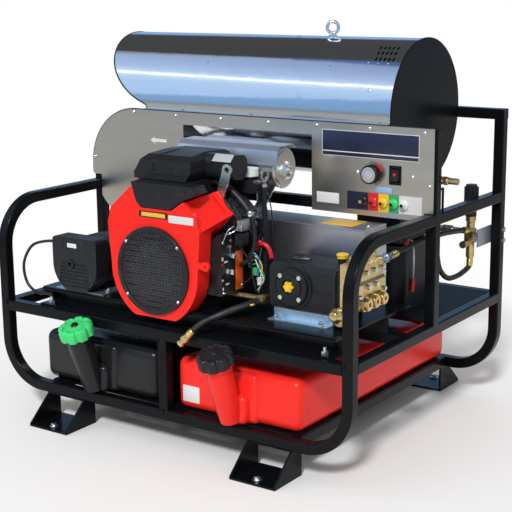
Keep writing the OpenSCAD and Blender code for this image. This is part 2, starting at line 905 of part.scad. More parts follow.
module pressure_hoses() color([0.05, 0.05, 0.06]) {
  swept(discharge_route, 8, [1, 0, 0], 2);
  swept(bypass_route, 8, [1, 0, 0], 2);
  swept(coil_route, 8, [0, 1, 0], 2);
}

// ---- generator ----

module generator_body() color([0.05, 0.05, 0.06]) {
  difference() {
    union() {
      rod_y(gen_x, gen_z, 72, -375, -215);
      rod_y(gen_x, gen_z, 78, -352, -300);
      rod_y(gen_x, gen_z, 55, -215, -205);
      for (a = [-60 : 20 : 240])
        translate([gen_x, 0, gen_z])
          rotate([0, a, 0])
            block([70, 78], [-290, -222], [-1.5, 1.5]);
      for (y = [-340, -240])
        difference() {
          block([gen_x - 44, gen_x + 44], [y - 10, y + 10], [bed_z + 3, 450]);
          rod_y(gen_x, gen_z, 60, -400, -200);
        }
    }
    rod_y(gen_x, gen_z, 9 + run_fit, -220, -200);
  }
}

module cover_shape() {
  translate([gen_x, gen_z]) {
    difference() {
      circle(86);
      translate([-100, 20]) square([200, 100]);
      translate([-100, bed_z + 3 - gen_z - 20]) square([200, 20]);
    }
    translate([0, 41]) rounded(172, 82, 14);
    translate([0, 12]) square([172, 26], center = true);
  }
}

// rounded end cover with louvres and a centre boss
module generator_cover() color([0.05, 0.05, 0.06]) {
  difference() {
    union() {
      along_y(-432, -375) cover_shape();
      rod_y(gen_x - 16, gen_z + 2, 14, -436, -432);
      rod_x(-402, 540, 9, -436, -424);
    }
    for (k = [0 : 6])
      block([gen_x - 62 + 2 * abs(k - 1), gen_x + 58 - 2 * abs(k - 1)], [-434, -429],
        [gen_z - 66 + 11 * k, gen_z - 60 + 11 * k]);
    rod_y(gen_x - 16, gen_z + 2, 7, -440, -426);
    along_y(-434, -431)
      translate([gen_x - 22, gen_z + 58]) square([40, 18], center = true);
  }
}

module generator_cord() color([0.04, 0.04, 0.05]) {
  swept(cord_route, 4.5, [0, 1, 0], 2);
}

// ---- tanks ----

// moulded tank body between two x limits
module tank_body(x0, x1) {
  xc = (x0 + x1) / 2;
  w = x1 - x0;
  difference() {
    intersection() {
      along_y(-424, -424 + tank_d)
        translate([xc, tank_z + tank_h / 2]) rounded(w, tank_h, tank_r);
      along_x(x0 - 1, x1 + 1)
        translate([-424 + tank_d / 2, tank_z + tank_h / 2]) rounded(tank_d, tank_h, tank_r);
      translate([xc, -424 + tank_d / 2, tank_z - 1])
        linear_extrude(tank_h + 2) rounded(w, tank_d, tank_r + 6);
    }
    // moulded channels over the top
    for (y = [-150, 60, 270])
      rod_x(y, tank_z + tank_h + 12, 22, x0 - 5, x1 + 5);
  }
}

// filler neck, leaning out in front of the skid
module tank_neck(x) {
  difference() {
    translate([x, neck_y, neck_z])
      rotate([neck_tilt, 0, 0])
        difference() {
          union() {
            translate([0, 0, 4])
              cylinder(r1 = neck_r - 9, r2 = neck_r - 2, h = 176);
            translate([0, 0, 170])
              cylinder(r = neck_r - 2, h = 20);
            translate([0, 0, 190])
              cylinder(r = neck_r, h = 30);
            translate([0, 0, 190])
              cylinder(r = neck_r + 5, h = 5);
          }
          translate([0, 0, 120])
            cylinder(r = neck_r - 8, h = 120);
        }
    block([x - 80, x + 80], [-560, -380], [60, tank_z]);
  }
}

module tank_collar(x) {
  intersection() {
    translate([x, -424, tank_z])
      cylinder(r = 52, h = 90);
    block([x - 60, x + 60], [-456, -400], [tank_z, tank_z + 90]);
  }
}

module diesel_tank() color([0.05, 0.05, 0.06]) {
  tank_body(-485, -45);
  tank_neck(diesel_x);
  tank_collar(diesel_x);
}

module petrol_tank() color([0.78, 0.04, 0.03]) {
  difference() {
    tank_body(28, 447);
    block([306, 418], [-426, -422.5], [136, 196]);
    block([34, 106], [-426, -423], [134, 196]);
  }
  block([40, 100], [-423.5, -422], [140, 190]);
  tank_neck(petrol_x);
  tank_collar(petrol_x);
}

// screw cap with grip flutes, local Z along the neck
module fuel_cap(x) {
  translate([x, neck_y, neck_z])
    rotate([neck_tilt, 0, 0])
      translate([0, 0, 196]) {
        difference() {
          union() {
            translate([0, 0, 2])
              cylinder(r = cap_r, h = 30);
            cylinder(r = cap_r - 2, h = 2);
            translate([0, 0, 32])
              cylinder(r = cap_r - 5, h = 4);
          }
          translate([0, 0, -1])
            cylinder(r = neck_r + 1, h = 25 + clear);
          for (a = [0 : 30 : 330])
            rotate([0, 0, a])
              translate([cap_r + 5, 0, 10])
                cylinder(r = 10, h = 60, center = true);
        }
        translate([0, 0, 36])
          cylinder(r = 11, h = 4);
      }
}

module diesel_cap() color([0.15, 0.75, 0.4]) {
  fuel_cap(diesel_x);
}

module petrol_cap() color([0.06, 0.06, 0.07]) {
  fuel_cap(petrol_x);
}

// ---- control panel ----

module panel_outline(grow = 0) {
  difference() {
    union() {
      translate([-hw - grow, 655]) square([2 * hw - 6 + 2 * grow, panel_top - 655 - panel_r]);
      translate([-hw + panel_r, 655]) square([2 * hw - 6 - panel_r + grow, panel_top - 655 + grow]);
      translate([-hw + panel_r, panel_top - panel_r]) circle(panel_r + grow);
      translate([226, 646]) square([hw - 232 + grow, 20]);
    }
    translate([-248 - grow, 600]) square([474, 267]);
    translate([-hw - 5, 600]) square([39, 84]);
    translate([in_x, 600]) square([40, rail_z + 2 - 600]);
  }
}

module arrow() {
  polygon([[-385, 812], [-362, 824], [-362, 818], [-316, 818], [-316, 806], [-362, 806], [-362, 800]]);
}

module control_panel() color([0.6, 0.58, 0.54]) {
  difference() {
    along_y(panel_y, panel_y + panel_t) panel_outline();
    // arrow cut-out
    along_y(panel_y - 1, panel_y + panel_t + 1) arrow();
    rod_y(430, 768, 5, panel_y - 1, panel_y + panel_t + 1);
    block([484, 520], [panel_y - 1, panel_y + panel_t + 1], [742, 796]);
    for (k = [0 : 4])
      rod_y(401 + nozzle_pitch * k, 688, 8, panel_y - 1, panel_y + panel_t + 1);
  }
  // plain sign plates
  block([262, 577], [panel_y - 1.2, panel_y], [811, 886]);
  block([243, 320], [panel_y - 1.2, panel_y], [670, 703]);
  block([439, 493], [panel_y - 1, panel_y], [716, 734]);
  // return flange along the lower edge
  block([226, in_x], [panel_y + panel_t, panel_y + panel_t + 16], [646, 648]);
}

// dark sheet behind the panel, the control box and the switch bezel
module panel_box() color([0.05, 0.05, 0.06]) {
  difference() {
    union() {
      difference() {
        along_y(-12, -10) panel_outline(2);
        block([-hw + 18, in_x], [-13, -9], [640, 690]);
        rod_y(430, 768, 5, -13, -9);
        block([490, 514], [-13, -9], [748, 790]);
        along_y(-13, -9) arrow();
      }
      block([236, in_x - 2], [-10, 50], [690, 776]);
      difference() {
        block([484 + clear, 520 - clear], [panel_y - 4, -11], [742 + clear, 796 - clear]);
        block([488, 516], [panel_y - 5, -9], [746, 792]);
      }
      block([drum_left + 4, in_x - 2], [-12, -7], [panel_top - 8, panel_top + 2]);
    }
    rod_y(430, 768, 4 + run_fit, -20, 12);
    block([487, 517], [panel_y - 5, 10], [745, 793]);
    for (k = [0 : 4])
      rod_y(401 + nozzle_pitch * k, 688, 8, -13, -8);
    for (k = [0 : 4])
      rod_y(401 + nozzle_pitch * k, 688, 6, -12, 20);
  }
  // rocker pivot pin
  rod_x(panel_y + 6, 769, 2, 486, 518);
}

// bulkhead outlet with its nut
module outlet_nipple() color([0.78, 0.6, 0.24]) {
  translate([in_x - 2, 36, 758])
    rotate([0, 90, 0]) {
      cylinder(r = 12, h = 16, $fn = 6);
      cylinder(r = 9, h = 79);
      translate([0, 0, 34])
        cylinder(r = 12, h = 12, $fn = 6);
    }
}

module thermostat_knob() color([0.12, 0.12, 0.13]) {
  difference() {
    union() {
      rod_y(430, 768, knob_r + 3, panel_y - 8, panel_y - clear);
      rod_y(430, 768, knob_r, panel_y - 26, panel_y - 8);
    }
    for (a = [0 : 20 : 340])
      translate([430, 0, 768])
        rotate([0, a, 0])
          rod_y(0, knob_r + 1, 2, panel_y - 30, panel_y - 10);
    block([429, 431], [panel_y - 30, panel_y - 25], [770, 800]);
  }
  rod_y(430, 768, 4, panel_y - 1, 10);
}

module rocker_switch() color([0.08, 0.08, 0.08]) {
  difference() {
    union() {
      rod_x(panel_y + 6, 769, 10, 489.5, 514.5);
      along_x(489.5, 514.5)
        polygon([[panel_y - 2, 752], [panel_y - 8, 753], [panel_y - 4, 769], [panel_y - 2, 786],
          [panel_y + 4, 784], [panel_y + 6, 769], [panel_y + 4, 754]]);
    }
    rod_x(panel_y + 6, 769, 2 + run_fit, 480, 520);
  }
}

module nozzle_holder() color([0.1, 0.12, 0.3]) {
  difference() {
    block([348, 588], [panel_y - 3, panel_y], [662, 713]);
    for (k = [0 : 4])
      rod_y(401 + nozzle_pitch * k, 688, 6.6, panel_y - 4, panel_y + 1);
  }
}

// quick-connect spray nozzle in its holder hole
module nozzle(k) {
  translate([401 + nozzle_pitch * k, panel_y - 3 - clear, 688])
    rotate([90, 0, 0]) {
      difference() {
        union() {
          cylinder(d = nozzle_d - 2, h = 7);
          translate([0, 0, 1])
            cylinder(d = nozzle_d, h = 5);
          translate([0, 0, 7])
            cylinder(r = 7, h = 8);
          translate([0, 0, 15])
            cylinder(r = 6, h = 3);
        }
        translate([0, 0, 8])
          cylinder(r = 3, h = 20);
        rotate([0, 0, 20])
          translate([-0.9, -8, 16])
            cube([1.8, 16, 4]);
      }
      translate([0, 0, -22])
        cylinder(r = 5.6, h = 22);
    }
}

module nozzle_a() color([0.1, 0.1, 0.12]) {
  nozzle(0);
}

module nozzle_b() color([0.85, 0.05, 0.05]) {
  nozzle(1);
}

module nozzle_c() color([0.95, 0.65, 0.05]) {
  nozzle(2);
}

module nozzle_d_green() color([0.1, 0.65, 0.35]) {
  nozzle(3);
}

module nozzle_e() color([0.9, 0.9, 0.9]) {
  nozzle(4);
}

// ---- heater drum ----

// side view of the wrap: square on the right, rounded hood on the left
module wrap_side() {
  translate([drum_left, 680]) square([drum_right - drum_left, 520]);
  translate([-308, 1207]) circle(hood_r, $fn = 96);
}

module drum_wrap() color([0.72, 0.74, 0.78]) {
  difference() {
    intersection() {
      rod_x(drum_y, drum_z, drum_r, -625, drum_right);
      along_y(-20, 430) wrap_side();
    }
    rod_x(drum_y, drum_z, drum_r - wrap_t, -630, drum_right + 1);
    // vent slots near the right end
    for (i = [0 : 4], j = [0 : 2])
      translate([384 + 14 * i + 4 * j, drum_y, drum_z])
        rotate([28 + 7 * j, 0, 0])
          block([-3, 3], [-7, 7], [drum_r - 10, drum_r + 10]);
  }
  // foot flange on top of the panel box
  difference() {
    block([drum_left, drum_right], [-14, 6], [panel_top + 2, panel_top + 4.5]);
    rod_x(drum_y, drum_z, drum_r - 1, -630, drum_right + 1);
  }
}

// end caps of the drum and the brackets that hang it on the rear frame
module drum_caps() color([0.05, 0.05, 0.06]) {
  rod_x(drum_y, drum_z, drum_r + 3, drum_right, drum_right + 4);
  difference() {
    rod_x(drum_y, drum_z, drum_r - wrap_t, drum_left, drum_left + 5);
    rod_x(drum_y, drum_z, 62, drum_left - 1, drum_left + 6);
  }
  difference() {
    rod_x(drum_y, drum_z, 64, drum_left - 30, drum_left + 20);
    rod_x(drum_y, drum_z, 62, drum_left - 31, drum_left + 21);
  }
  difference() {
    union() {
      for (x = [-300, 0, 300])
        block([x - 25, x + 25], [380, back_y - tube / 2], [rear_z - 22, rear_z - 14]);
    }
    rod_x(drum_y, drum_z, drum_r, -700, 700);
  }
}

module lifting_eye() color([0.7, 0.72, 0.74]) {
  translate([162, drum_y, drum_z + drum_r - 1]) {
    difference() {
      cylinder(r = 13, h = 5);
      rod_x(0, -drum_r + 1, drum_r, -30, 30);
    }
    translate([0, 0, 2])
      cylinder(r = 6, h = 10);
    translate([0, 0, 27])
      rotate([90, 0, 30])
        rotate_extrude()
          translate([17, 0])
            circle(5);
  }
}

// ---- unloader and battery ----

module unloader_valve() color([0.78, 0.6, 0.24]) {
  rod_z(unl_x, 350, 13, 474, 598);
  translate([unl_x, 350, 540])
    cube([28, 28, 44], center = true);
  rod_z(unl_x, 350, 16, 586, 600, $fn = 48);
  rod_y(unl_x, 560, 10, 330.1, 350);
  rod_z(unl_x, 350, 10, 462.1, 480);
  rod_y(unl_x, 520, 8, 300, 350);
  rod_y(unl_x, 520, 11, 296, 312);
  rod_z(unl_x, 350, 5, 598, 668);
  // arm towards the heating coil
  rod_x(350, 552, 9, unl_x - 59, unl_x - 12);
}

// plate that carries the unloader on the rear post
module unloader_bracket() color([0.65, 0.68, 0.72]) {
  block([unl_x + 14, unl_x + 27], [340, 362], [526, 548]);
  block([unl_x + 27, hw - tube], [338, hd - 4], [508, 562]);
}

// hex unions at the unloader's arm and under the heater drum
module coil_fittings() color([0.65, 0.68, 0.72]) {
  translate([unl_x - 91, 350, 552])
    rotate([0, 90, 0])
      cylinder(r = 13, h = 32, $fn = 6);
  rod_z(coil_x, drum_y, 9, 692, drum_low);
  translate([coil_x, drum_y, 700])
    cylinder(r = 14, h = 12, $fn = 6);
}

// blower and fuel pump housing of the burner, hung under the drum
module burner_housing() color([0.05, 0.05, 0.06]) {
  along_x(334, drum_right - 1)
    polygon([[64, 556], [292, 556], [292, 660], [270, drum_low - clear], [64, drum_low - clear]]);
  rod_x(180, 630, 58, 320, 334);
  rod_y(412, 630, 34, 56, 64);
}

module unloader_knob() color([0.06, 0.06, 0.07]) {
  difference() {
    union() {
      rod_z(unl_x, 350, 17, 600 + clear, 636);
      rod_z(unl_x, 350, 22, 636, 690);
      rod_z(unl_x, 350, 17, 690, 697);
    }
    rod_z(unl_x, 350, 5 + run_fit, 590, 668 + clear);
    for (a = [0 : 30 : 330])
      translate([unl_x, 350, 672])
        rotate([0, 0, a])
          translate([24.5, 0, 0])
            cylinder(r = 4.5, h = 60, center = true);
  }
}

module battery() color([0.05, 0.05, 0.06]) {
  translate([in_x - 166, 176, 0]) {
    translate([0, 0, shelf_z])
      linear_extrude(176) rounded(126, 190, 6);
    translate([0, 0, shelf_z + 176])
      linear_extrude(16) rounded(132, 196, 8);
    translate([0, 0, shelf_z + 192])
      linear_extrude(4) rounded(60, 150, 4);
    for (y = [-72, 72])
      rod_z(48, y, 8, shelf_z + 192, shelf_z + 202);
  }
}

// ---- fasteners ----

// hexagon head with its face against the plane, local +Z away from the surface
module hex_head(d, h) {
  cylinder(d = d * 1.15, h = h, $fn = 6);
}

module round_head(d, h) {
  cylinder(d = d, h = h * 0.6);
  translate([0, 0, h * 0.6])
    cylinder(d1 = d, d2 = d * 0.6, h = h * 0.4);
}

panel_screws = [[-448, 896], [-277, 893], [-103, 893], [71, 893], [242, 895], [418, 895],
  [in_x - 3, 893], [in_x + 15, 746], [-hw + 8, 740], [380, 769], [556, 768]];

module fasteners() color([0.75, 0.77, 0.8]) {
  for (p = panel_screws)
    translate([p[0], panel_y, p[1]])
      rotate([90, 0, 0])
        round_head(10, 4);
  // channel bolts on the front rail
  for (x = [-450, 522])
    translate([x, -420, shelf_z + 5]) {
      hex_head(18, 9);
      cylinder(d = 10, h = 20);
    }
  // pump mounting bolts
  for (x = [330, 466])
    translate([x, -349, bed_z + 3]) {
      hex_head(16, 8);
      cylinder(d = 9, h = 13);
    }
  // generator foot bolt
  translate([-250, -386, bed_z + 3]) {
    hex_head(16, 8);
    cylinder(d = 9, h = 13);
  }
  // bearing cover bolts
  for (sx = [-1, 1], sz = [-1, 1])
    translate([pump_x + sx * 30, pump_front - 12, pump_z + sz * 30])
      rotate([90, 0, 0])
        hex_head(12, 7);
  // manifold bolts
  for (y = [-271, -229], z = [548, 510])
    translate([z > 520 ? 558 : 564, y, z])
      rotate([0, 90, 0])
        hex_head(13, 8);
  for (y = [-313, -187], z = [548, 490])
    translate([z > 520 ? 558 : 564, y, z])
      rotate([0, 90, 0])
        hex_head(11, 8);
  // air screen screws
  for (a = [40, 140, 220, 320])
    translate([eng_x, eng_front - 8, crank_z + 6])
      rotate([90, a, 0])
        translate([screen_r - 7, 0, 0])
          round_head(9, 4);
  // unloader bracket bolts through the rear post
  for (z = [516, 550])
    translate([hw, back_y, z])
      rotate([0, 90, 0])
        hex_head(14, 8);
  // drum flange screws
  for (x = [-260, 0, 260, 440])
    translate([x, -8, panel_top + 4.5])
      hex_head(8, 3);
}

front_hoop();
rear_frame();
inner_frame();
tank_tray();
feet();
deck_plate();
engine_bed();
engine_block();
dipstick();
cylinder_heads();
fan_cover();
fan_screen();
crank_rotor();
air_cleaner();
intake_housing();
filler_cap();
engine_panel();
key_switch();
choke_lever();
muffler();
muffler_shield();
engine_hoses();
drain_fitting();
belt_guard();
drive_belts();
pump_pulley();
generator_pulley();
pump_crankcase();
bearing_cover();
sight_glass();
pump_oil_cap();
pump_manifold();
valve_caps();
machine_feet();
discharge_fitting();
pressure_hoses();
generator_body();
generator_cover();
generator_cord();
diesel_tank();
diesel_cap();
petrol_tank();
petrol_cap();
control_panel();
panel_box();
thermostat_knob();
rocker_switch();
nozzle_holder();
nozzle_a();
nozzle_b();
nozzle_c();
nozzle_d_green();  // nozzle_d
nozzle_e();
drum_wrap();
drum_caps();
lifting_eye();
unloader_valve();
unloader_knob();
battery();
fasteners();
engine_hook();
outlet_nipple();
unloader_bracket();
coil_fittings();
burner_housing();
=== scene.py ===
"""Looks of a skid-mounted hot-water pressure washer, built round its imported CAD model."""

import json
import logging
import math
import random
from dataclasses import dataclass, field
from enum import Enum

import bpy
from mathutils import Matrix, Vector

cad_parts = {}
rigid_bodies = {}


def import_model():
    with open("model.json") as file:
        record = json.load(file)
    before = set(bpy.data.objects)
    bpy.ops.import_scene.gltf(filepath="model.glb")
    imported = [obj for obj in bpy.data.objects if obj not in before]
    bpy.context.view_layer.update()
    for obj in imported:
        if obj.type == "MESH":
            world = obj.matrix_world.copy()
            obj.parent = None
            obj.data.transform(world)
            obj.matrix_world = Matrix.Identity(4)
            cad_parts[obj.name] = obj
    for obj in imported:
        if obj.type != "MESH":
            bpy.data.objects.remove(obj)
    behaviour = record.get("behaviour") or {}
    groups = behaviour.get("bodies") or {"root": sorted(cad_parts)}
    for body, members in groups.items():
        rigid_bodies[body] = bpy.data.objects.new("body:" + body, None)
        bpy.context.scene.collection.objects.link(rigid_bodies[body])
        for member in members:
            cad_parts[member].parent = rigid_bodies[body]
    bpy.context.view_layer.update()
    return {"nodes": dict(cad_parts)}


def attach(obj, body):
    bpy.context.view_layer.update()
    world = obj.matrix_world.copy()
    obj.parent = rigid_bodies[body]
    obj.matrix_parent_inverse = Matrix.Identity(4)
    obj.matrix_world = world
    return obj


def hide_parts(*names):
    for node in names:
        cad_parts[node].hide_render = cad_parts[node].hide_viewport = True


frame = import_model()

Piece = bpy.types.Object
Socket = bpy.types.NodeSocket
log = logging.getLogger("pressure_washer")
MM = 0.001
BRUSHED_ALONG_X = (0.02, 1.0, 1.0)
PANEL_FACE, PANEL_TOP = -15.0, 906.0
DIAL_X, DIAL_Z = 430.0, 768.0
NOZZLE_X, NOZZLE_PITCH, NOZZLE_Z = 401.0, 33.0, 688.0


class Axis(Enum):
    """Direction that a turned piece or a sheet points along."""

    X = (0.0, math.pi / 2, 0.0)
    Z = (0.0, 0.0, 0.0)
    FRONT = (math.pi / 2, 0.0, 0.0)


# ---- shader maths ----


class Signal:
    """A value socket that takes part in arithmetic."""

    def __init__(self, graph: "Graph", socket: Socket) -> None:
        """Wraps one output socket of a graph."""
        self.graph = graph
        self.socket = socket

    def _math(self, operation: str, *others: object, flip: bool = False) -> "Signal":
        """Adds one Math node.

        Args:
            operation: Name of the Math node's operation.
            others: Signals or numbers that follow this value.
            flip: Puts this value second.

        Returns:
            The result as a signal.
        """
        terms = [self, *others]
        if flip:
            terms[0], terms[1] = terms[1], terms[0]
        node = self.graph.node("ShaderNodeMath", {"operation": operation}, dict(enumerate(terms)))
        return Signal(self.graph, node.outputs[0])

    def __add__(self, other: object) -> "Signal":
        """Sum."""
        return self._math("ADD", other)

    __radd__ = __add__

    def __sub__(self, other: object) -> "Signal":
        """Difference."""
        return self._math("SUBTRACT", other)

    def __rsub__(self, other: object) -> "Signal":
        """Difference from a number."""
        return self._math("SUBTRACT", other, flip=True)

    def __mul__(self, other: object) -> "Signal":
        """Product."""
        return self._math("MULTIPLY", other)

    __rmul__ = __mul__

    def __truediv__(self, other: object) -> "Signal":
        """Quotient."""
        return self._math("DIVIDE", other)

    def __pow__(self, other: object) -> "Signal":
        """Power."""
        return self._math("POWER", other)

    def heading(self, other: object) -> "Signal":
        """Angle whose tangent is this value over the other."""
        return self._math("ARCTAN2", other)

    def below(self, limit: object) -> "Signal":
        """1 where the value is under the limit, else 0."""
        return self._math("LESS_THAN", limit)

    def above(self, limit: object) -> "Signal":
        """1 where the value is over the limit, else 0."""
        return self._math("GREATER_THAN", limit)

    def least(self, other: object) -> "Signal":
        """The smaller of two values."""
        return self._math("MINIMUM", other)

    def most(self, other: object) -> "Signal":
        """The larger of two values."""
        return self._math("MAXIMUM", other)

    def root(self) -> "Signal":
        """Square root."""
        return self._math("SQRT")

    def folded(self, pitch: float) -> "Signal":
        """Distance to the nearest whole multiple of a pitch."""
        return self._math("PINGPONG", pitch / 2)

    def between(self, low: float, high: float) -> "Signal":
        """Smooth step from 0 at low to 1 at high."""
        node = self.graph.node(
            "ShaderNodeMapRange",
            {"interpolation_type": "SMOOTHSTEP"},
            {"Value": self, "From Min": low, "From Max": high},
        )
        return Signal(self.graph, node.outputs[0])


class Graph:
    """Node tree of one material or of the world."""

    def __init__(self, tree: bpy.types.NodeTree) -> None:
        """Empties the tree.

        Args:
            tree: The node tree to fill.
        """
        self.tree = tree
        tree.nodes.clear()

    def node(self, kind: str, settings: dict | None = None, values: dict | None = None) -> bpy.types.Node:
        """Adds a node.

        Args:
            kind: Type name of the node.
            settings: Attributes, and "stops" for a ramp, which are set first.
            values: Number, colour, signal or socket for each input name or index.

        Returns:
            The new node.
        """
        made = self.tree.nodes.new(kind)
        for name, value in (settings or {}).items():
            if name == "stops":
                self._stops(made.color_ramp, value)
            else:
                setattr(made, name, value)
        for name, value in (values or {}).items():
            socket = made.inputs[name]
            if isinstance(value, Signal):
                value = value.socket
            if isinstance(value, Socket):
                self.tree.links.new(value, socket)
            else:
                socket.default_value = value
        return made

    @staticmethod
    def _stops(ramp: bpy.types.ColorRamp, stops: list[tuple]) -> None:
        """Sets the stops of a ramp.

        Args:
            ramp: The ramp.
            stops: Pairs of place and colour.
        """
        while len(ramp.elements) < len(stops):
            ramp.elements.new(1.0)
        for element, (place, colour) in zip(ramp.elements, stops):
            element.position = place
            element.color = (*colour, 1.0)

    def place(self) -> Socket:
        """Object coordinates in metres."""
        return self.node("ShaderNodeTexCoord").outputs["Object"]

    def axes(self) -> tuple[Signal, Signal, Signal]:
        """Object coordinates as three signals."""
        split = self.node("ShaderNodeSeparateXYZ", None, {0: self.place()})
        return tuple(Signal(self, socket) for socket in split.outputs)

    def noise(self, scale: float, detail: float = 3.0, stretch: tuple = (1.0, 1.0, 1.0)) -> Signal:
        """Noise in object space.

        Args:
            scale: Features per metre.
            detail: Octaves.
            stretch: Scale of each axis.

        Returns:
            The noise value about 0.5.
        """
        mapping = self.node("ShaderNodeMapping", None, {"Vector": self.place(), "Scale": stretch})
        texture = self.node(
            "ShaderNodeTexNoise",
            None,
            {"Vector": mapping.outputs[0], "Scale": scale, "Detail": detail, "Roughness": 0.6},
        )
        return Signal(self, texture.outputs[0])

    def blend(self, factor: Signal, first: object, second: object) -> Socket:
        """Mixes two colours.

        Args:
            factor: 0 gives the first colour and 1 the second.
            first: Colour or socket.
            second: Colour or socket.

        Returns:
            The mixed colour's socket.
        """
        colours = [c if isinstance(c, Socket) else (*c, 1.0) for c in (first, second)]
        settings = {"data_type": "RGBA", "clamp_factor": True}
        return self.node("ShaderNodeMix", settings, {0: factor, 6: colours[0], 7: colours[1]}).outputs[2]

    def toned(self, factor: Signal, colour: tuple, dark: float, light: float) -> Socket:
        """Mixes a darker and a lighter shade of one colour."""
        return self.blend(factor, shade(colour, dark), shade(colour, light))

    def relief(self, height: Signal, depth: float, strength: float = 1.0, **over: object) -> Socket:
        """Bump from a height.

        Args:
            height: Height between 0 and 1.
            depth: Metres from 0 to 1.
            strength: Share of the bump.
            over: Normal that the bump lies on.

        Returns:
            The normal's socket.
        """
        values = {"Height": height, "Distance": depth, "Strength": strength, **over}
        return self.node("ShaderNodeBump", None, values).outputs[0]

    def path(self, kind: str) -> Signal:
        """1 where the ray is of a kind, such as "Camera"."""
        return Signal(self, self.node("ShaderNodeLightPath").outputs[f"Is {kind} Ray"])

    def emitter(self, kind: str, strength: float, colour: object = (1.0, 1.0, 1.0, 1.0)) -> Socket:
        """An emission or background shader."""
        return self.node(kind, None, {"Color": colour, "Strength": strength}).outputs[0]

    def layered(self, factor: Signal, first: object, second: object) -> Socket:
        """Mixes two shaders."""
        return self.node("ShaderNodeMixShader", None, {0: factor, 1: first, 2: second}).outputs[0]

    def surface(self, **values: object) -> None:
        """Ends the material in one Principled shader.

        Args:
            values: Inputs, with an underscore for a space.
        """
        named = {name.replace("_", " "): value for name, value in values.items()}
        shader = self.node("ShaderNodeBsdfPrincipled", None, named)
        output = self.node("ShaderNodeOutputMaterial", None, {"Surface": shader.outputs[0]})
        output.location = (300, 0)


# ---- finishes ----


def shade(colour: tuple, factor: float) -> tuple:
    """A colour made darker or lighter.

    Args:
        colour: Red, green and blue.
        factor: Under 1 darkens.

    Returns:
        The new colour, kept under 1.
    """
    return tuple(min(1.0, c * factor) for c in colour)


@dataclass(frozen=True)
class Finish:
    """A surface finish that becomes one material.

    Attributes:
        name: Name of the material.
        colour: Base colour.
        slot: The record's material slot; not used.
    """

    name: str
    colour: tuple
    slot: str

    def material(self) -> bpy.types.Material:
        """The finish's material, built once."""
        known = bpy.data.materials.get(self.name)
        if known:
            return known
        made = bpy.data.materials.new(self.name)
        made.use_nodes = True
        self.build(Graph(made.node_tree))
        made.diffuse_color = (*self.colour, 1.0)
        return made

    def build(self, graph: Graph) -> None:
        """Fills the node tree."""
        raise NotImplementedError


@dataclass(frozen=True)
class Paint(Finish):
    """Sprayed or powder-coated metal with a light orange peel.

    Attributes:
        gloss: Roughness of the clean coat.
        dust: How much scuffs are dusted.
        coat: Weight of the clear coat.
        mirror: Specular level.
    """

    gloss: float = 0.25
    dust: float = 0.03
    coat: float = 0.2
    mirror: float = 0.4

    def build(self, graph: Graph) -> None:
        """Fills the node tree."""
        blotch = graph.noise(9.0, 4.0)
        peel = graph.noise(420.0, 2.0)
        scuff = graph.noise(60.0, 6.0, (1.0, 1.0, 0.25)).between(0.62, 0.78)
        base = graph.toned(blotch, self.colour, 0.82, 1.14)
        dusty = graph.blend(scuff * self.dust, base, (0.30, 0.29, 0.27))
        graph.surface(
            Base_Color=dusty,
            Roughness=self.gloss + blotch * 0.12 + scuff * 0.2,
            Specular_IOR_Level=self.mirror,
            Coat_Weight=self.coat,
            Coat_Roughness=0.08,
            Normal=graph.relief(peel, 0.00008, 0.6),
        )


@dataclass(frozen=True)
class Casting(Finish):
    """Painted or bare casting with a sandy skin.

    Attributes:
        metal: Metallic share.
        gloss: Mean roughness.
        sand: Depth of the skin in metres.
        mirror: Specular level.
    """

    metal: float = 0.0
    gloss: float = 0.5
    sand: float = 0.0003
    mirror: float = 0.4

    def build(self, graph: Graph) -> None:
        """Fills the node tree."""
        sand = graph.noise(650.0, 3.0)
        blotch = graph.noise(22.0, 5.0)
        grime = graph.noise(70.0, 6.0).between(0.52, 0.74)
        base = graph.toned(blotch, self.colour, 0.72, 1.2)
        base = graph.blend(grime * 0.35, base, shade(self.colour, 0.35))
        graph.surface(
            Base_Color=base,
            Metallic=self.metal,
            Roughness=self.gloss + (blotch - 0.5) * 0.25 + grime * 0.15,
            Specular_IOR_Level=self.mirror,
            Normal=graph.relief(sand + blotch * 2.0, self.sand, 0.7),
        )


@dataclass(frozen=True)
class Moulded(Finish):
    """Injection or rotationally moulded plastic.

    Attributes:
        gloss: Roughness.
        grain: Depth of the grain in metres.
        pitch: Grain features per metre.
        rub: How much rubbed spots pale.
        mirror: Specular level.
    """

    gloss: float = 0.45
    grain: float = 0.00012
    pitch: float = 900.0
    rub: float = 0.05
    mirror: float = 0.4

    def build(self, graph: Graph) -> None:
        """Fills the node tree."""
        grain = graph.noise(self.pitch, 2.0)
        cloud = graph.noise(7.0, 3.0)
        rub = graph.noise(34.0, 6.0).between(0.56, 0.8)
        base = graph.toned(cloud, self.colour, 0.85, 1.15)
        base = graph.blend(rub * self.rub, base, (0.35, 0.35, 0.35))
        graph.surface(
            Base_Color=base,
            Roughness=self.gloss + (cloud - 0.5) * 0.2 + rub * 0.12,
            Specular_IOR_Level=self.mirror,
            Normal=graph.relief(grain, self.grain, 0.7),
        )


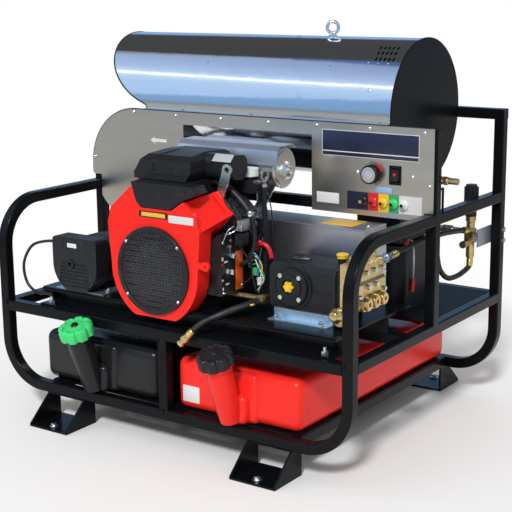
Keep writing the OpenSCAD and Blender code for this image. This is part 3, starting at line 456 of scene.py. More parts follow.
@dataclass(frozen=True)
class Sheet(Finish):
    """Brushed or polished sheet metal.

    Attributes:
        gloss: Roughness.
        wave: Depth of the sheet's slow waves in metres.
    """

    gloss: float = 0.3
    wave: float = 0.0

    def build(self, graph: Graph) -> None:
        """Fills the node tree."""
        lines = graph.noise(900.0, 2.0, BRUSHED_ALONG_X)
        streak = graph.noise(46.0, 4.0, BRUSHED_ALONG_X)
        cloud = graph.noise(5.0, 3.0)
        print_marks = graph.noise(26.0, 6.0).between(0.6, 0.8)
        base = graph.toned(streak, self.colour, 0.88, 1.1)
        base = graph.blend(print_marks * 0.15, base, shade(self.colour, 0.7))
        normal = graph.relief(lines, 0.00003, 0.5)
        if self.wave:
            normal = graph.relief(cloud, self.wave, 0.4, Normal=normal)
        graph.surface(
            Base_Color=base,
            Metallic=1.0,
            Roughness=self.gloss + (lines - 0.5) * 0.12 + print_marks * 0.12,
            Normal=normal,
        )


@dataclass(frozen=True)
class Plated(Finish):
    """Zinc, chrome or brass with a slightly uneven skin.

    Attributes:
        tint: Second colour that shows in patches.
        gloss: Roughness.
        dirt: How dark the stained spots are.
    """

    tint: tuple = (0.7, 0.7, 0.7)
    gloss: float = 0.3
    dirt: float = 0.3

    def build(self, graph: Graph) -> None:
        """Fills the node tree."""
        patch = graph.noise(75.0, 4.0)
        skin = graph.noise(500.0, 3.0)
        dark = graph.noise(160.0, 5.0).between(0.55, 0.75)
        base = graph.blend(patch.between(0.35, 0.65), self.colour, self.tint)
        base = graph.blend(dark * self.dirt, base, shade(self.colour, 0.45))
        graph.surface(
            Base_Color=base,
            Metallic=0.95,
            Roughness=self.gloss + (patch - 0.5) * 0.2 + dark * 0.2,
            Normal=graph.relief(skin, 0.0002, 0.5),
        )


@dataclass(frozen=True)
class Rubber(Finish):
    """Hose or belt rubber with a cloth-marked cover."""

    def build(self, graph: Graph) -> None:
        """Fills the node tree."""
        cloth = graph.noise(1400.0, 2.0)
        dust = graph.noise(40.0, 5.0).between(0.5, 0.8)
        base = graph.blend(dust * 0.3, self.colour, (0.09, 0.088, 0.085))
        graph.surface(
            Base_Color=base,
            Roughness=0.42 + dust * 0.25,
            Normal=graph.relief(cloth, 0.0001, 0.6),
        )


@dataclass(frozen=True)
class Perforated(Finish):
    """Black sheet with staggered round holes, its colour darkened towards each hole's edge as painted shade.

    Attributes:
        pitch: Hole pitch in metres.
        hole: Hole radius in metres.
    """

    pitch: float = 0.0072
    hole: float = 0.0027

    def build(self, graph: Graph) -> None:
        """Fills the node tree."""
        x, _, z = graph.axes()
        x, z = x + 10.0, z + 10.0
        rise = self.pitch * math.sqrt(3.0)
        first = (x.folded(self.pitch) ** 2.0 + z.folded(rise) ** 2.0).root()
        shifted = ((x + self.pitch / 2).folded(self.pitch) ** 2.0 + (z + rise / 2).folded(rise) ** 2.0).root()
        nearest = first.least(shifted)
        web = nearest.above(self.hole)
        # rim runs from 0 at a hole's edge to 1 in the web; the colour below rises from 0.6 to 2.2 times over it,
        # painted shade darkening the web towards each hole's edge.
        rim = nearest.between(self.hole, self.hole * 1.3)
        graph.surface(
            Base_Color=graph.toned(rim, self.colour, 0.6, 2.2),
            Roughness=0.45 - rim * 0.1,
            Alpha=web,
        )


@dataclass(frozen=True)
class DialFace(Finish):
    """Knurled silver disc of the thermostat knob, with the knurl's grooves painted as dark lines of shade.

    Attributes:
        radius: Disc radius in metres.
    """

    radius: float = 0.024

    def build(self, graph: Graph) -> None:
        """Fills the node tree."""
        x, _, z = graph.axes()
        x, z = x - DIAL_X * MM, z - DIAL_Z * MM
        away = (x * x + z * z).root() / self.radius
        turn = x.heading(z)
        knurl = (turn + 10.0).folded(math.radians(12.0))
        brushed = graph.noise(700.0, 2.0)
        base = graph.toned(brushed, self.colour, 0.8, 1.1)
        # Dark radial lines every 12 degrees on the outer half: painted shade of the knurl's grooves.
        base = graph.blend(knurl.below(0.03) * away.above(0.5), base, shade(self.colour, 0.35))
        graph.surface(Base_Color=base, Metallic=0.4, Roughness=0.35 + brushed * 0.15)


@dataclass(frozen=True)
class ScalePrint(Finish):
    """Printed warm and cool arc round the thermostat knob."""

    def build(self, graph: Graph) -> None:
        """Fills the node tree."""
        x, _, z = graph.axes()
        turn = (x - DIAL_X * MM).heading(z - DIAL_Z * MM)
        grain = graph.noise(900.0, 2.0)
        cool = turn.above(-1.0) * turn.below(-0.4)
        warm = turn.above(0.3) * turn.below(1.25)
        base = graph.toned(grain, self.colour, 0.9, 1.1)
        base = graph.blend(cool, base, (0.10, 0.32, 0.16))
        graph.surface(Base_Color=base, Roughness=0.35 + grain * 0.1, Alpha=warm.most(cool))


@dataclass(frozen=True)
class Banded(Finish):
    """Printed plate with plain fields side by side along X.

    Attributes:
        fields: Left edge in metres and colour of each field.
        line: Z limits of a plain light line, or None.
    """

    fields: tuple = ()
    line: tuple | None = None

    def build(self, graph: Graph) -> None:
        """Fills the node tree."""
        x, _, z = graph.axes()
        print_grain = graph.noise(1200.0, 2.0)
        base = graph.toned(print_grain, self.colour, 0.92, 1.08)
        for edge, colour in self.fields:
            base = graph.blend(x.above(edge), base, colour)
        if self.line:
            low, high = self.line
            base = graph.blend(z.above(low) * z.below(high), base, (0.75, 0.75, 0.74))
        graph.surface(Base_Color=base, Roughness=0.3 + print_grain * 0.1, Coat_Weight=0.2)


FRAME_COAT = Paint(
    "frame_powder_coat", (0.0048, 0.0053, 0.0066), "frame_paint", gloss=0.18, coat=0.0, dust=0.012, mirror=0.13
)
DECK_COAT = Paint("deck_coat", (0.006, 0.007, 0.010), "frame_paint", gloss=0.42, dust=0.02, coat=0.0, mirror=0.12)
RED_COAT = Paint("engine_red", (0.92, 0.018, 0.012), "red_paint", gloss=0.28, coat=0.05, dust=0.01, mirror=0.25)
BLACK_CAST = Casting("black_casting", (0.015, 0.0155, 0.017), "black_metal", gloss=0.42, mirror=0.3)
ALLOY_CAST = Casting("alloy_casting", (0.60, 0.61, 0.62), "alloy", metal=0.9, gloss=0.36)
IRON_TURNED = Casting("pulley_iron_skin", (0.22, 0.22, 0.23), "pulley_iron", metal=0.8, gloss=0.4)
BRASS = Plated("cast_brass", (0.70, 0.47, 0.17), "brass", tint=(0.80, 0.62, 0.33), gloss=0.3)
ZINC = Plated("zinc_plate", (0.62, 0.70, 0.76), "zinc", tint=(0.76, 0.78, 0.74), gloss=0.26, dirt=0.12)
PASSIVATED = Plated("passivated_zinc", (0.60, 0.76, 0.86), "zinc", tint=(0.68, 0.80, 0.88), gloss=0.36, dirt=0.0)
BRACKET_ZINC = Plated("bracket_zinc", (0.50, 0.53, 0.56), "zinc", tint=(0.56, 0.58, 0.60), gloss=0.46, dirt=0.02)
DARK_ALLOY = Casting("painted_head", (0.055, 0.056, 0.06), "alloy", metal=0.5, gloss=0.38)
BRIGHT = Plated("bright_plate", (0.72, 0.73, 0.75), "bright_steel", tint=(0.78, 0.79, 0.80), gloss=0.16)
MACHINED = Plated("machined_steel_skin", (0.42, 0.43, 0.45), "machined_steel", tint=(0.5, 0.5, 0.5), gloss=0.35)
YELLOW_FERRULE = Plated("yellow_passivate", (0.72, 0.52, 0.10), "brass", tint=(0.80, 0.66, 0.25), gloss=0.3)
GRAINED = Moulded("grained_black", (0.014, 0.0145, 0.0165), "black_plastic", gloss=0.36, mirror=0.3)
SATIN_TANK = Moulded(
    "tank_black_skin", (0.013, 0.0135, 0.015), "tank_black",
    gloss=0.26, grain=0.0003, pitch=120.0, rub=0.01, mirror=0.3,
)
RED_TANK = Moulded(
    "tank_red_skin", (0.93, 0.026, 0.018), "tank_red", gloss=0.32, grain=0.0003, pitch=120.0, rub=0.01, mirror=0.25
)
GREEN_CAP = Moulded("green_cap", (0.055, 0.64, 0.19), "green_plastic", gloss=0.3, pitch=500.0, mirror=0.3)
WHITE_CAP = Moulded("white_cap", (0.72, 0.76, 0.72), "white_plastic", gloss=0.4)
YELLOW_CAP = Moulded("yellow_cap", (0.85, 0.56, 0.03), "yellow_plastic", gloss=0.28)
SWITCH_BLACK = Moulded("switch_black", (0.012, 0.012, 0.012), "switch_plastic", gloss=0.2)
SWITCH_RED = Moulded("switch_red", (0.60, 0.02, 0.01), "switch_plastic", gloss=0.22)
HOSE = Rubber("hose_cover", (0.012, 0.012, 0.013), "hose_rubber")
LEAD_RED = Moulded("red_boot", (0.65, 0.02, 0.03), "red_paint", gloss=0.35)
PANEL_SHEET = Sheet("panel_sheet", (0.72, 0.66, 0.57), "panel_steel", gloss=0.3)
DRUM_SHEET = Sheet("drum_sheet", (0.74, 0.78, 0.84), "polished_steel", gloss=0.10, wave=0.003)
GUARD_SHEET = Sheet("guard_sheet", (0.66, 0.67, 0.69), "stainless", gloss=0.36, wave=0.003)
SHIELD_SHEET = Sheet("shield_sheet", (0.84, 0.87, 0.94), "stainless", gloss=0.42)
MUFFLER_SKIN = Sheet("muffler_skin", (0.80, 0.77, 0.72), "exhaust_steel", gloss=0.38, wave=0.002)
SCREEN = Perforated("screen_mesh", (0.022, 0.023, 0.027), "black_plastic", pitch=0.0094, hole=0.0036)
DIAL = DialFace("dial_face", (0.60, 0.63, 0.66), "bright_steel")
SCALE = ScalePrint("scale_print", (0.62, 0.03, 0.03), "nozzle_red")
EDGE_TRIM = Rubber("edge_trim_rubber", (0.008, 0.008, 0.009), "hose_rubber")
WIRE_BLUE = Moulded("wire_blue", (0.02, 0.30, 0.62), "navy_plastic", gloss=0.3)
WIRE_YELLOW = Moulded("wire_yellow", (0.80, 0.66, 0.05), "yellow_plastic", gloss=0.3)
WIRE_WHITE = Moulded("wire_white", (0.72, 0.74, 0.72), "white_plastic", gloss=0.35)
WIRE_GREEN = Moulded("wire_green", (0.05, 0.36, 0.16), "green_plastic", gloss=0.3)
LEAD_GREY = Moulded("lead_grey", (0.32, 0.34, 0.36), "hose_rubber", gloss=0.35)
BANNER = Banded("banner_print", (0.010, 0.014, 0.048), "navy_plastic", line=(0.823, 0.826))
WHITE_PLATE = Banded("white_print", (0.72, 0.73, 0.74), "white_plastic")
BLUE_PLATE = Banded("blue_print", (0.30, 0.48, 0.75), "white_plastic")
ORANGE_PLATE = Banded("orange_print", (0.95, 0.12, 0.004), "yellow_plastic")
AMBER_PLATE = Banded("amber_print", (0.78, 0.46, 0.03), "yellow_plastic")
GREY_PLATE = Banded("grey_print", (0.42, 0.45, 0.47), "alloy")
SILVER_PLATE = Banded("silver_print", (0.66, 0.69, 0.71), "alloy")
STRIP_PRINT = Banded(
    "nozzle_strip_print",
    (0.012, 0.012, 0.035),
    "navy_plastic",
    fields=(
        (0.4175, (0.60, 0.015, 0.02)),
        (0.4505, (0.80, 0.50, 0.03)),
        (0.4835, (0.03, 0.36, 0.14)),
        (0.5165, (0.66, 0.67, 0.68)),
    ),
)

NOZZLE_RED = Moulded("nozzle_red_skin", (0.70, 0.02, 0.02), "nozzle_red", gloss=0.3)

FINISH_NODES = (
    (FRAME_COAT, "front_hoop rear_frame inner_frame tank_tray feet engine_bed panel_box drum_caps"),
    (DECK_COAT, "deck_plate"),
    (BLACK_CAST, "engine_block pump_crankcase bearing_cover generator_body burner_housing"),
    (BRIGHT, "dipstick key_switch choke_lever"),
    (DARK_ALLOY, "cylinder_heads"),
    (RED_COAT, "fan_cover"),
    (GRAINED,
     "fan_screen air_cleaner intake_housing engine_panel generator_cover thermostat_knob nozzle_a "
     "unloader_knob battery"),
    (MACHINED, "crank_rotor"),
    (WHITE_CAP, "filler_cap nozzle_e"),
    (MUFFLER_SKIN, "muffler"),
    (SHIELD_SHEET, "muffler_shield"),
    (HOSE, "engine_hoses drive_belts pressure_hoses generator_cord"),
    (BRASS, "drain_fitting pump_manifold valve_caps unloader_valve outlet_nipple"),
    (GUARD_SHEET, "belt_guard"),
    (IRON_TURNED, "pump_pulley generator_pulley"),
    (YELLOW_CAP, "sight_glass pump_oil_cap nozzle_c"),
    (PASSIVATED, "machine_feet"),
    (ZINC, "discharge_fitting lifting_eye fasteners engine_hook coil_fittings"),
    (SATIN_TANK, "diesel_tank petrol_cap"),
    (GREEN_CAP, "diesel_cap nozzle_d"),
    (RED_TANK, "petrol_tank"),
    (PANEL_SHEET, "control_panel"),
    (SWITCH_BLACK, "rocker_switch"),
    (STRIP_PRINT, "nozzle_holder"),
    (NOZZLE_RED, "nozzle_b"),
    (DRUM_SHEET, "drum_wrap"),
    (BRACKET_ZINC, "unloader_bracket"),
)
NODE_FINISH = {node: finish for finish, nodes in FINISH_NODES for node in nodes.split()}


# ---- modelling ----


class Bench:
    """Operator sequences that each leave one finished mesh at the origin."""

    @staticmethod
    def clear() -> None:
        """Deselects everything."""
        for thing in bpy.context.view_layer.objects.selected[:]:
            thing.select_set(False)

    @staticmethod
    def settle(name: str, finish: Finish, body: str = "skid", smooth: float = 35.0) -> Piece:
        """Applies the active object's place, names and dresses it.

        Args:
            name: Name of the piece.
            finish: Its finish.
            body: CAD body that it rides on.
            smooth: Angle in degrees under which edges shade smooth.

        Returns:
            The finished object.
        """
        piece = bpy.context.active_object
        bpy.ops.object.transform_apply(location=True, rotation=True, scale=True)
        if smooth:
            bpy.ops.object.shade_smooth_by_angle(angle=math.radians(smooth))
        piece.name = name
        piece.data.name = name
        piece.data.materials.clear()
        piece.data.materials.append(finish.material())
        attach(piece, body)
        return piece

    @staticmethod
    def put(piece: Piece, at: tuple, turn: Matrix | None = None) -> Piece:
        """Moves a piece's mesh.

        Args:
            piece: A piece made at the origin.
            at: Its new place in millimetres.
            turn: Rotation round the origin that comes first.

        Returns:
            The piece.
        """
        piece.data.transform(Matrix.Translation(Vector(at) * MM) @ (turn or Matrix.Identity(4)))
        return piece

    @staticmethod
    def bevel(width: float, segments: int = 2, angle: float = 40.0) -> None:
        """Bevels the active object's sharp edges in millimetres."""
        piece = bpy.context.active_object
        modifier = piece.modifiers.new("edge", "BEVEL")
        modifier.width = width * MM
        modifier.segments = segments
        modifier.limit_method = "ANGLE"
        modifier.angle_limit = math.radians(angle)
        bpy.ops.object.modifier_apply(modifier=modifier.name)

    @staticmethod
    def _stand(at: tuple, axis: Axis) -> Matrix:
        """Place in metres of a piece whose own Z points along an axis."""
        lean = Matrix.Identity(4)
        for angle, letter in zip(axis.value, "XYZ"):
            lean = Matrix.Rotation(angle, 4, letter) @ lean
        return Matrix.Translation(Vector(at) * MM) @ lean

    @classmethod
    def turned(
        cls,
        name: str,
        finish: Finish,
        at: tuple,
        steps: list[tuple[float, float]],
        axis: Axis = Axis.Z,
        sides: int = 32,
        body: str = "skid",
        edge: float = 0.0,
    ) -> Piece:
        """A turned piece, drawn out of a disc by extruding and scaling its end.

        Args:
            name: Name of the piece.
            finish: Its finish.
            at: Foot of the axis in millimetres.
            steps: Height along the axis and radius of each shoulder, in millimetres.
            axis: Direction of the axis.
            sides: Number of sides.
            body: CAD body that it rides on.
            edge: Bevel width in millimetres, or 0.

        Returns:
            The finished object.
        """
        cls.clear()
        first_height, first_radius = steps[0]
        bpy.ops.mesh.primitive_circle_add(
            vertices=sides, radius=first_radius * MM, fill_type="NGON", location=(0, 0, first_height * MM)
        )
        bpy.ops.object.mode_set(mode="EDIT")
        bpy.ops.mesh.select_all(action="SELECT")
        bpy.ops.mesh.flip_normals()
        height, radius = first_height, first_radius
        for next_height, next_radius in steps[1:]:
            bpy.ops.mesh.extrude_region_move(
                TRANSFORM_OT_translate={"value": (0, 0, (next_height - height) * MM)}
            )
            factor = next_radius / radius
            bpy.ops.transform.resize(value=(factor, factor, 1.0), center_override=(0, 0, next_height * MM))
            height, radius = next_height, next_radius
        bpy.ops.mesh.select_all(action="SELECT")
        bpy.ops.mesh.normals_make_consistent(inside=False)
        bpy.ops.object.mode_set(mode="OBJECT")
        piece = bpy.context.active_object
        piece.matrix_world = cls._stand(at, axis) @ Matrix.Translation((0, 0, first_height * MM))
        if edge:
            cls.bevel(edge)
        return cls.settle(name, finish, body)

    @classmethod
    def plate(
        cls,
        name: str,
        finish: Finish,
        x: tuple,
        y: tuple,
        z: tuple,
        edge: float = 0.6,
        rim: float = 0.0,
        raise_by: float = 0.3,
        body: str = "skid",
        segments: int = 2,
    ) -> Piece:
        """A small plate or block between limits in millimetres, with a raised or sunk face.

        Args:
            name: Name of the piece.
            finish: Its finish.
            x: Limits along X.
            y: Limits along Y.
            z: Limits along Z.
            edge: Bevel width.
            rim: Width of the rim round its front face, or 0.
            raise_by: How far the field inside the rim is pushed out to the front.
            body: CAD body that it rides on.
            segments: Segments of the bevel.

        Returns:
            The finished object.
        """
        cls.clear()
        middle = [(a[0] + a[1]) / 2 * MM for a in (x, y, z)]
        size = [(a[1] - a[0]) * MM for a in (x, y, z)]
        bpy.ops.mesh.primitive_cube_add(size=1.0, location=middle, scale=size)
        piece = bpy.context.active_object
        bpy.ops.object.transform_apply(location=True, rotation=True, scale=True)
        if rim:
            for face in piece.data.polygons:
                face.select = face.normal.y < -0.9
            for edge_ in piece.data.edges:
                edge_.select = False
            bpy.ops.object.mode_set(mode="EDIT")
            bpy.ops.mesh.select_mode(type="FACE")
            bpy.ops.mesh.inset(thickness=rim * MM, depth=raise_by * MM)
            bpy.ops.object.mode_set(mode="OBJECT")
        cls.bevel(edge, segments)
        return cls.settle(name, finish, body)

    @classmethod
    def grooved(cls, piece: Piece, rows: tuple, height: float, radius: float) -> None:
        """Cuts round channels along X into a block's top.

        Args:
            piece: The block.
            rows: Y of each channel in millimetres.
            height: Z of the channels' axis.
            radius: Their radius.
        """
        for row in rows:
            cls.clear()
            middle = ((piece.bound_box[0][0] + piece.bound_box[6][0]) / 2, row * MM, height * MM)
            bpy.ops.mesh.primitive_cylinder_add(vertices=48, radius=radius * MM, depth=1.0, location=middle,
                                                rotation=(0, math.pi / 2, 0))
            cutter = bpy.context.active_object
            bpy.context.view_layer.objects.active = piece
            cut = piece.modifiers.new("channel", "BOOLEAN")
            cut.object = cutter
            cut.solver = "EXACT"
            bpy.ops.object.modifier_apply(modifier=cut.name)
            cutter.select_set(False)
            bpy.data.objects.remove(cutter)
            bpy.context.view_layer.update()

    @classmethod
    def ring(
        cls,
        name: str,
        finish: Finish,
        at: tuple,
        radius: float,
        thick: float,
        axis: Axis = Axis.Z,
        body: str = "skid",
        squash: float = 1.0,
    ) -> Piece:
        """A clamp or bead ring.

        Args:
            name: Name of the piece.
            finish: Its finish.
            at: Centre in millimetres.
            radius: Radius of the ring's middle line in millimetres.
            thick: Radius of its section in millimetres.
            axis: Direction of its axis.
            body: CAD body that it rides on.
            squash: Width along the axis over thickness.

        Returns:
            The finished object.
        """
        cls.clear()
        bpy.ops.mesh.primitive_torus_add(
            major_radius=radius * MM, minor_radius=thick * MM, major_segments=48, minor_segments=10
        )
        bpy.ops.object.mode_set(mode="EDIT")
        bpy.ops.mesh.select_all(action="SELECT")
        bpy.ops.transform.resize(value=(1, 1, squash), center_override=(0, 0, 0))
        bpy.ops.object.mode_set(mode="OBJECT")
        piece = bpy.context.active_object
        piece.matrix_world = cls._stand(at, axis)
        return cls.settle(name, finish, body, smooth=60.0)

    @classmethod
    def wire(
        cls,
        name: str,
        finish: Finish,
        points: list[tuple],
        radius: float,
        body: str = "skid",
        steps: int = 5,
    ) -> Piece:
        """A bent wire, lead or bead as a round tube with closed ends.

        Args:
            name: Name of the piece.
            finish: Its finish.
            points: Points that it passes, in millimetres.
            radius: Radius in millimetres.
            body: CAD body that it rides on.
            steps: Samples between two points.

        Returns:
            The finished object.
        """
        cls.clear()
        curve = cls._curve(name, [Vector(p) * MM for p in sampled(points, steps)], radius * MM)
        curve.select_set(True)
        bpy.context.view_layer.objects.active = curve
        bpy.ops.object.convert(target="MESH")
        return cls.settle(name, finish, body, smooth=60.0)

    @staticmethod
    def _curve(name: str, points: list[Vector], radius: float) -> Piece:
        """A poly curve with a round section."""
        data = bpy.data.curves.new(name, "CURVE")
        data.dimensions = "3D"
        data.bevel_depth = radius
        data.bevel_resolution = 3
        data.use_fill_caps = True
        spline = data.splines.new("POLY")
        spline.points.add(len(points) - 1)
        for point, place in zip(spline.points, points):
            point.co = (*place, 1.0)
        made = bpy.data.objects.new(name, data)
        bpy.context.scene.collection.objects.link(made)
        return made

    @classmethod
    def cord(
        cls,
        name: str,
        finish: Finish,
        route: list[tuple],
        radius: float,
        node: str,
        far_end: str = "object",
        pieces: tuple[str, ...] = (),
    ) -> Piece:
        """A hose or lead along its CAD route, drawn in place of its hidden CAD node.

        Args:
            name: Name of the piece.
            finish: Its finish.
            route: The route's points in millimetres, as in the part's source.
            radius: Radius in millimetres.
            node: CAD node that it stands for.
            far_end: What is at its far end; not used.
            pieces: Pieces and CAD nodes that are on it; not used.

        Returns:
            The cord's curve.
        """
        places = [Vector(p) * MM for p in sampled(route, 8)]
        piece = cls._curve(name, places, radius * MM)
        piece.data.materials.append(finish.material())
        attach(piece, "skid")
        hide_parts(node)
        return piece


def sampled(points: list[tuple], steps: int) -> list[tuple]:
    """Points on a smooth curve through the given ones.

    Args:
        points: Points that it passes.
        steps: Samples between two points.

    Returns:
        The curve's points.
    """
    def knot(i: int) -> Vector:
        return Vector(points[max(0, min(len(points) - 1, i))])

    found = []
    for i in range(len(points) - 1):
        for k in range(steps):
            s = k / steps
            a, b, c, d = knot(i - 1), knot(i), knot(i + 1), knot(i + 2)
            place = 0.5 * (
                2 * b + (c - a) * s + (2 * a - 5 * b + 4 * c - d) * s * s + (3 * b - a - 3 * c + d) * s**3
            )
            found.append(tuple(place))
    found.append(tuple(points[-1]))
    return found


# ---- studio ----


@dataclass
class Studio:
    """Camera, pale floor, sky and lamps.

    Attributes:
        camera_at: Camera's place in metres.
        azimuth: Turn of the view from +Y towards -X, in degrees.
        elevation: Height of the camera over the horizon, in degrees.
        roll: Turn of the picture, in degrees.
        lens: Focal length for a 36 mm sensor.
    """

    camera_at: tuple = (2.164, -3.079, 1.327)
    azimuth: float = 34.936
    elevation: float = 12.764
    roll: float = 0.610
    lens: float = 88.0

    def camera(self) -> None:
        """Adds the camera and makes it the scene's."""
        data = bpy.data.cameras.new("camera")
        data.lens = self.lens
        data.sensor_width = 36.0
        data.clip_end = 100.0
        a, e, r = (math.radians(v) for v in (self.azimuth, self.elevation, self.roll))
        ahead = Vector((-math.sin(a) * math.cos(e), math.cos(a) * math.cos(e), -math.sin(e)))
        right = Vector((math.cos(a), math.sin(a), 0.0))
        down = ahead.cross(right)
        across = right * math.cos(r) + down * math.sin(r)
        lower = down * math.cos(r) - right * math.sin(r)
        turn = Matrix((across, -lower, -ahead)).transposed().to_4x4()
        made = bpy.data.objects.new("camera", data)
        made.matrix_world = Matrix.Translation(Vector(self.camera_at)) @ turn
        bpy.context.scene.collection.objects.link(made)
        bpy.context.scene.camera = made

    def floor(self) -> None:
        """Adds the pale floor, which keeps the object's shadow and runs out into the backdrop."""
        Bench.clear()
        bpy.ops.mesh.primitive_circle_add(vertices=96, radius=2.4, fill_type="NGON", location=(0, 0, -0.0005))
        floor = bpy.context.active_object
        floor.name = "floor"
        material = bpy.data.materials.new("floor_pale")
        material.use_nodes = True
        graph = Graph(material.node_tree)
        speck = graph.noise(3.0, 2.0)
        x, y, _ = graph.axes()
        pale = graph.blend(speck, (0.92, 0.92, 0.92), (0.95, 0.95, 0.95))
        matte = graph.node("ShaderNodeBsdfDiffuse", None, {"Color": pale}).outputs[0]
        backdrop = graph.emitter("ShaderNodeEmission", 1.0)
        seen = graph.path("Camera").most(graph.path("Glossy"))
        rim = (x * x + y * y).root().between(1.35, 2.2) * seen
        graph.node("ShaderNodeOutputMaterial", None, {"Surface": graph.layered(rim, matte, backdrop)})
        floor.data.materials.append(material)

    def sky(self) -> None:
        """White to the camera, a soft light for surfaces and an open sky over grey ground in metal."""
        world = bpy.data.worlds.new("studio")
        bpy.context.scene.world = world
        world.use_nodes = True
        graph = Graph(world.node_tree)
        way = graph.node("ShaderNodeTexCoord").outputs["Generated"]
        split = graph.node("ShaderNodeSeparateXYZ", None, {0: way})
        back, up = Signal(graph, split.outputs[1]), Signal(graph, split.outputs[2])
        stops = [
            (0.0, (0.36, 0.35, 0.33)), (0.44, (0.46, 0.45, 0.42)), (0.47, (0.27, 0.30, 0.33)),
            (0.50, (0.26, 0.44, 0.68)), (0.64, (0.28, 0.48, 0.78)), (0.73, (0.35, 0.54, 0.80)),
            (0.768, (0.50, 0.68, 0.88)), (0.778, (1.5, 1.5, 1.5)), (0.785, (1.5, 1.5, 1.5)),
            (0.796, (0.46, 0.62, 0.88)), (0.83, (0.26, 0.41, 0.68)), (0.88, (0.16, 0.28, 0.53)),
            (0.93, (0.09, 0.17, 0.38)), (1.0, (0.06, 0.08, 0.12)),
        ]
        open_sky = graph.node("ShaderNodeValToRGB", {"stops": stops}, {0: up * 0.5 + 0.5})
        behind = back.between(-0.10, -0.04) * up.between(0.60, 0.68) + back.between(0.2, 0.3) * up.between(0.32, 0.44)
        mirrored = graph.blend(behind.least(1.0), open_sky.outputs[0], (0.070, 0.068, 0.066))
        kind = "ShaderNodeBackground"
        soft, metal, white = (graph.emitter(kind, 0.50), graph.emitter(kind, 1.0, mirrored), graph.emitter(kind, 1.0))
        lit = graph.layered(graph.path("Glossy"), soft, metal)
        shown = graph.layered(graph.path("Camera"), lit, white)
        graph.node("ShaderNodeOutputWorld", None, {"Surface": shown})

    def lamps(self) -> None:
        """Adds a soft sun from the front right and a wide fill from the left."""
        for name, strength, spread, turn in (
            ("key", 2.3, 9.0, (math.radians(49), 0.0, math.radians(22))),
            ("fill", 0.2, 60.0, (math.radians(60), 0.0, math.radians(-60))),
        ):
            data = bpy.data.lights.new(name, "SUN")
            data.energy = strength
            data.angle = math.radians(spread)
            lamp = bpy.data.objects.new(name, data)
            lamp.rotation_euler = turn
            bpy.context.scene.collection.objects.link(lamp)

    def build(self) -> None:
        """Builds the studio and sets the view transform."""
        self.camera()
        self.floor()
        self.sky()
        self.lamps()
        bpy.context.scene.view_settings.view_transform = "Standard"
        log.info("studio ready")


# ---- sub-assemblies ----


